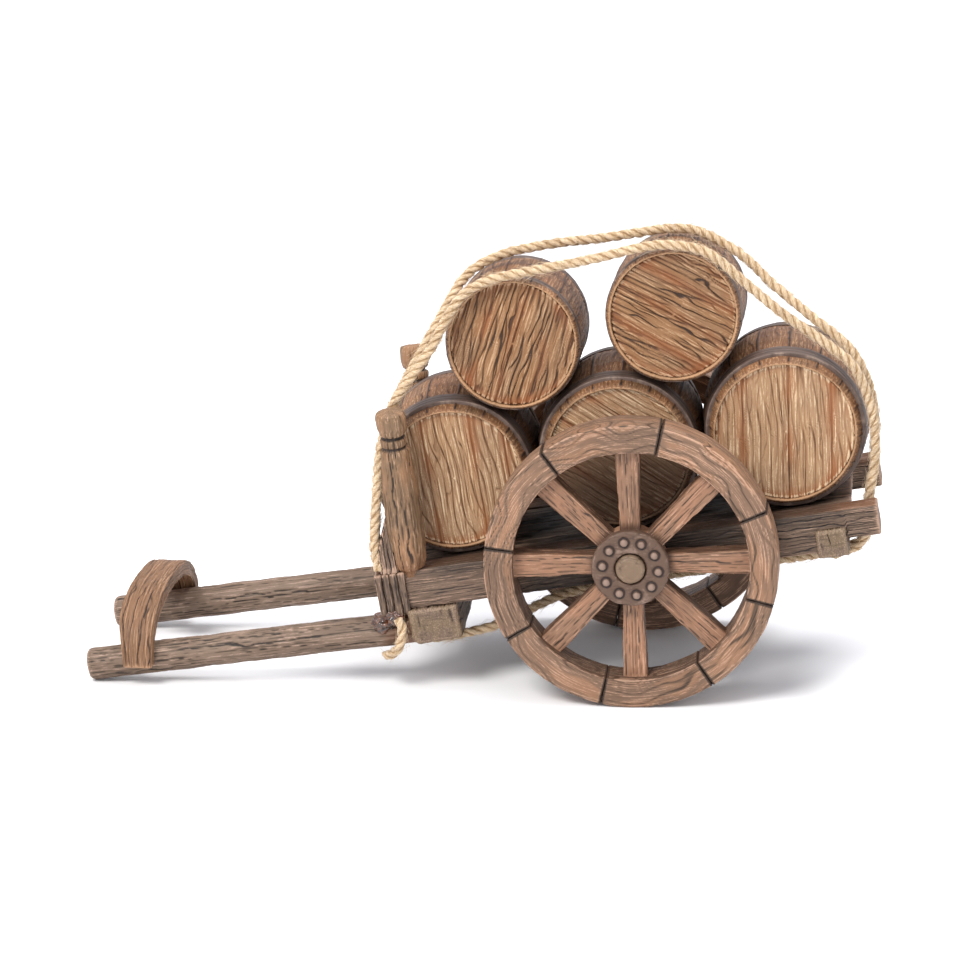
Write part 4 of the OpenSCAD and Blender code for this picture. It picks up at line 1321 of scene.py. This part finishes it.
# %% Laying the plies
def ply(line, s, u, v, k, seed):
    turn = 2 * math.pi * (s / LAY + k / 3) + 0.35 * noise(s / 9, k + 0 * s, 0, seed)
    out = np.cos(turn)[:, None] * u + np.sin(turn)[:, None] * v
    off = PLY_OFF * (1 + 0.12 * noise(s / 3, 5 * k + 0 * s, 0, seed + 1))
    centre = line + off[:, None] * out
    head = unit(np.gradient(centre, axis=0))
    out = unit(out - head * np.sum(out * head, -1, keepdims=True))
    flank = np.cross(head, out)
    t = np.linspace(0, 2 * math.pi, 16, endpoint=False)
    swell = 1 + 0.1 * noise(s / 2.2, 3 * k + 0 * s, 1, seed + 2)
    fibre = noise(s[:, None] / 2.4, (t + 0 * s[:, None]) * 2.2 - s[:, None] * 1.5, 4 * k + 0 * t, seed + 3)
    r = PLY_R * swell[:, None] * (1 + 0.13 * fibre)
    rays = np.cos(t)[:, None] * out[:, None] + np.sin(t)[:, None] * flank[:, None]
    p = centre[:, None] + r[..., None] * rays
    far = np.linalg.norm(p - line[:, None], axis=-1)
    # The relief is low in the creases between the plies, where the twine finish paints shade.
    relief = np.clip(smooth(far, 0.75, 1.3) + 0.3 * fibre, 0, 1)
    grain = np.stack([s[:, None] + 0 * t, (t - 0.9 * s[:, None]) * PLY_R, 3.0 * k + 0 * r], -1)
    return {"p": p, "relief": relief, "grain": grain, "wear": 0.0 * r, "end": 0.0 * r, "loop": False,
            "tone": 0.5 + 0.5 * noise(s / 12, k + 0 * s, 0, seed + 4)[:, None] + 0 * t}


def loose_fibres(line, s, u, v, count, seed):
    rng = np.random.default_rng(seed)
    head = unit(np.gradient(line, axis=0))
    hairs = []
    for i in range(count):
        at = rng.integers(4, len(line) - 4)
        turn = rng.uniform(0, 2 * math.pi)
        out = math.cos(turn) * u[at] + math.sin(turn) * v[at]
        flank = np.cross(head[at], out)
        long, lift, way = rng.uniform(1.5, 5.0), rng.uniform(0.1, 1.1), rng.choice([-1, 1])
        t = np.linspace(0, 1, 7)[:, None]
        swing = rng.uniform(-0.6, 0.6)
        p = line[at] + out * (1.32 + lift * t ** 1.5) + head[at] * way * long * t * 0.85
        p = p + flank * (0.55 * long * t * 0.5 + swing * t ** 2)
        r = 0.048 * (1 - 0.6 * t[:, 0])
        a = unit(np.cross(np.gradient(p, axis=0), [0.2, 0.5, 1.0]))
        b = unit(np.cross(np.gradient(p, axis=0), a))
        corner = np.linspace(0, 2 * math.pi, 3, endpoint=False)
        grid = p[:, None] + r[:, None, None] * (
            np.cos(corner)[:, None] * a[:, None] + np.sin(corner)[:, None] * b[:, None])
        hairs.append({"p": grid, "loop": False, "relief": 1.0, "tone": rng.uniform(0.3, 1)})
    return hairs


# %% Twine finish
def jute():
    mat, n, shader = new_finish("twine")
    fibre = n.stretched((0.5, 4.0, 4.0), 1.0, 4.0, 0.75)
    cloud = n.stretched((0.12, 0.3, 0.3), 1.0, 2.0, 0.5)
    height = n.math("ADD", n.value("relief"), n.math("MULTIPLY", n.math("SUBTRACT", fibre, 0.5), 2.2))
    # Painted shade: the creases between the plies are darkened, and the palest fibre colour is kept to the ply
    # crowns.
    colour = n.mix(n.ramp(height, 0.0, 0.6), paint("5e4530"), paint("a58966"))
    colour = n.mix(n.math("MULTIPLY", n.ramp(cloud, 0.4, 0.62), 0.5), colour, paint("8d6a45"))
    colour = n.mix(n.ramp(height, 0.7, 1.2), colour, paint("dcc6a8"))
    n.join(colour, shader.inputs["Base Color"])
    shader.inputs["Roughness"].default_value = 0.85
    shader.inputs["Specular IOR Level"].default_value = 0.25
    shader.inputs["Sheen Weight"].default_value = 0.25
    shader.inputs["Sheen Roughness"].default_value = 0.4
    n.bump(shader, fibre, 0.00008, 0.7)
    return mat


TWINE = jute()
for number, (name, route) in enumerate(ROUTES.items()):
    if name in ("rope_near_strand", "rope_far_strand"):
        route = [(u + FRONT_SHIFT * (u < FRONT_END), y, w) for u, y, w in route]
    line, long = curve_through(route, 0.33)
    s = np.linspace(0, long, len(line))
    head_way, u, v = carried_frame(line)
    seed = 600 + 10 * number
    joined(name, [ply(line, s, u, v, k, seed) for k in range(3)], on_bed, TWINE, "cart", [name])
    joined(name + "_fibres", loose_fibres(line, s, u, v, int(long * 4.5), seed + 7), on_bed, TWINE, "cart",
           ())
    print(name, "is", round(long, 1), "mm long")


# %% [markdown]
# ## Knots and glue
# At the front the twine ends in a drop of amber glue on the shaft, wrinkled and very glossy. At the rear it
# is knotted under the crossbar. Both are lumps worked over with noise, one shiny and one fibrous.

# %% Knots
def glue():
    mat, n, shader = new_finish("amber_glue")
    cloud = n.stretched((0.6, 0.6, 0.6), 1.0, 3.0, 0.6)
    colour = n.mix(n.ramp(cloud, 0.35, 0.65), paint("1c0c05"), paint("5a3119"))
    colour = n.mix(n.math("MULTIPLY", n.ramp(n.value("relief"), 0.5, 1.0), 0.2), colour, paint("96684a"))
    n.join(colour, shader.inputs["Base Color"])
    shader.inputs["Roughness"].default_value = 0.22
    shader.inputs["Coat Weight"].default_value = 0.8
    shader.inputs["Coat Roughness"].default_value = 0.08
    return mat


GLUE = glue()


def lump(centre, size, seed, rough):
    t = np.linspace(0.02, math.pi - 0.02, 60)
    ring = [(math.sin(v), -math.cos(v)) for v in t]
    piece = lathe(ring, 90, 0.05, 0.05)
    p = piece["p"]
    push = 1 + rough * noise(p[..., 0] * 1.6, p[..., 1] * 1.6, p[..., 2] * 1.6, seed)
    push = push + 0.5 * rough * noise(p[..., 0] * 4, p[..., 1] * 4, p[..., 2] * 4, seed + 1)
    piece["relief"] = smooth(push, 0.8, 1.2)
    piece["grain"] = p * 3.0
    piece["p"] = p * push[..., None] * np.array(size) + np.array(centre)
    return piece


joined("rope_front_knot", [lump((-66.2, -23.6, -9.4), (3.6, 3.2, 2.9), 700, 0.3),
                           lump((-63.4, -25.2, -8.2), (2.4, 1.7, 2.2), 702, 0.3),
                           lump((-68.6, -23.4, -11.0), (2.2, 2.0, 2.0), 704, 0.35)],
       on_bed, GLUE, "cart", ["rope_front_knot"])
joined("rope_rear_knot", [lump((50.4, -12.4, -9.9), (2.5, 2.5, 2.3), 710, 0.2)], on_bed, TWINE, "cart",
       ["rope_rear_knot"])

# %% [markdown]
# ## Small hardware that keeps its exact shape
# The axle, its washers and the pegs are already right in the frame and hardly seen, so they only get a
# finish that needs no carved mesh: dark iron and plain wood with noise in the object's own space.

# %% Hidden hardware
def plain_finish(name, dark, light, stretch, rough):
    mat, n, shader = new_finish(name)
    where = n.add("ShaderNodeTexCoord").outputs["Object"]
    scaled = n.add("ShaderNodeVectorMath", operation="MULTIPLY")
    n.join(where, scaled.inputs[0])
    scaled.inputs[1].default_value = stretch
    tex = n.add("ShaderNodeTexNoise")
    n.join(scaled.outputs[0], tex.inputs["Vector"])
    tex.inputs["Scale"].default_value = 1.0
    tex.inputs["Detail"].default_value = 4.0
    colour = n.mix(n.ramp(tex.outputs["Fac"], 0.35, 0.65), paint(dark), paint(light))
    n.join(colour, shader.inputs["Base Color"])
    shader.inputs["Roughness"].default_value = rough
    n.bump(shader, tex.outputs["Fac"], 0.00008)
    return mat


AXLE_IRON = plain_finish("axle_iron", "241a14", "5b4839", (900, 900, 900), 0.55)
PEG_WOOD = plain_finish("peg_wood", "4a3424", "8f7050", (900, 900, 150), 0.7)
plain = {"axle": AXLE_IRON, "thrust_washer_left": AXLE_IRON, "thrust_washer_right": AXLE_IRON,
         "crossbar_pegs": PEG_WOOD}
for name, mat in plain.items():
    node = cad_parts[name]
    node.data.materials.clear()
    node.data.materials.append(mat)
print(len(plain), "frame pieces keep their shape")
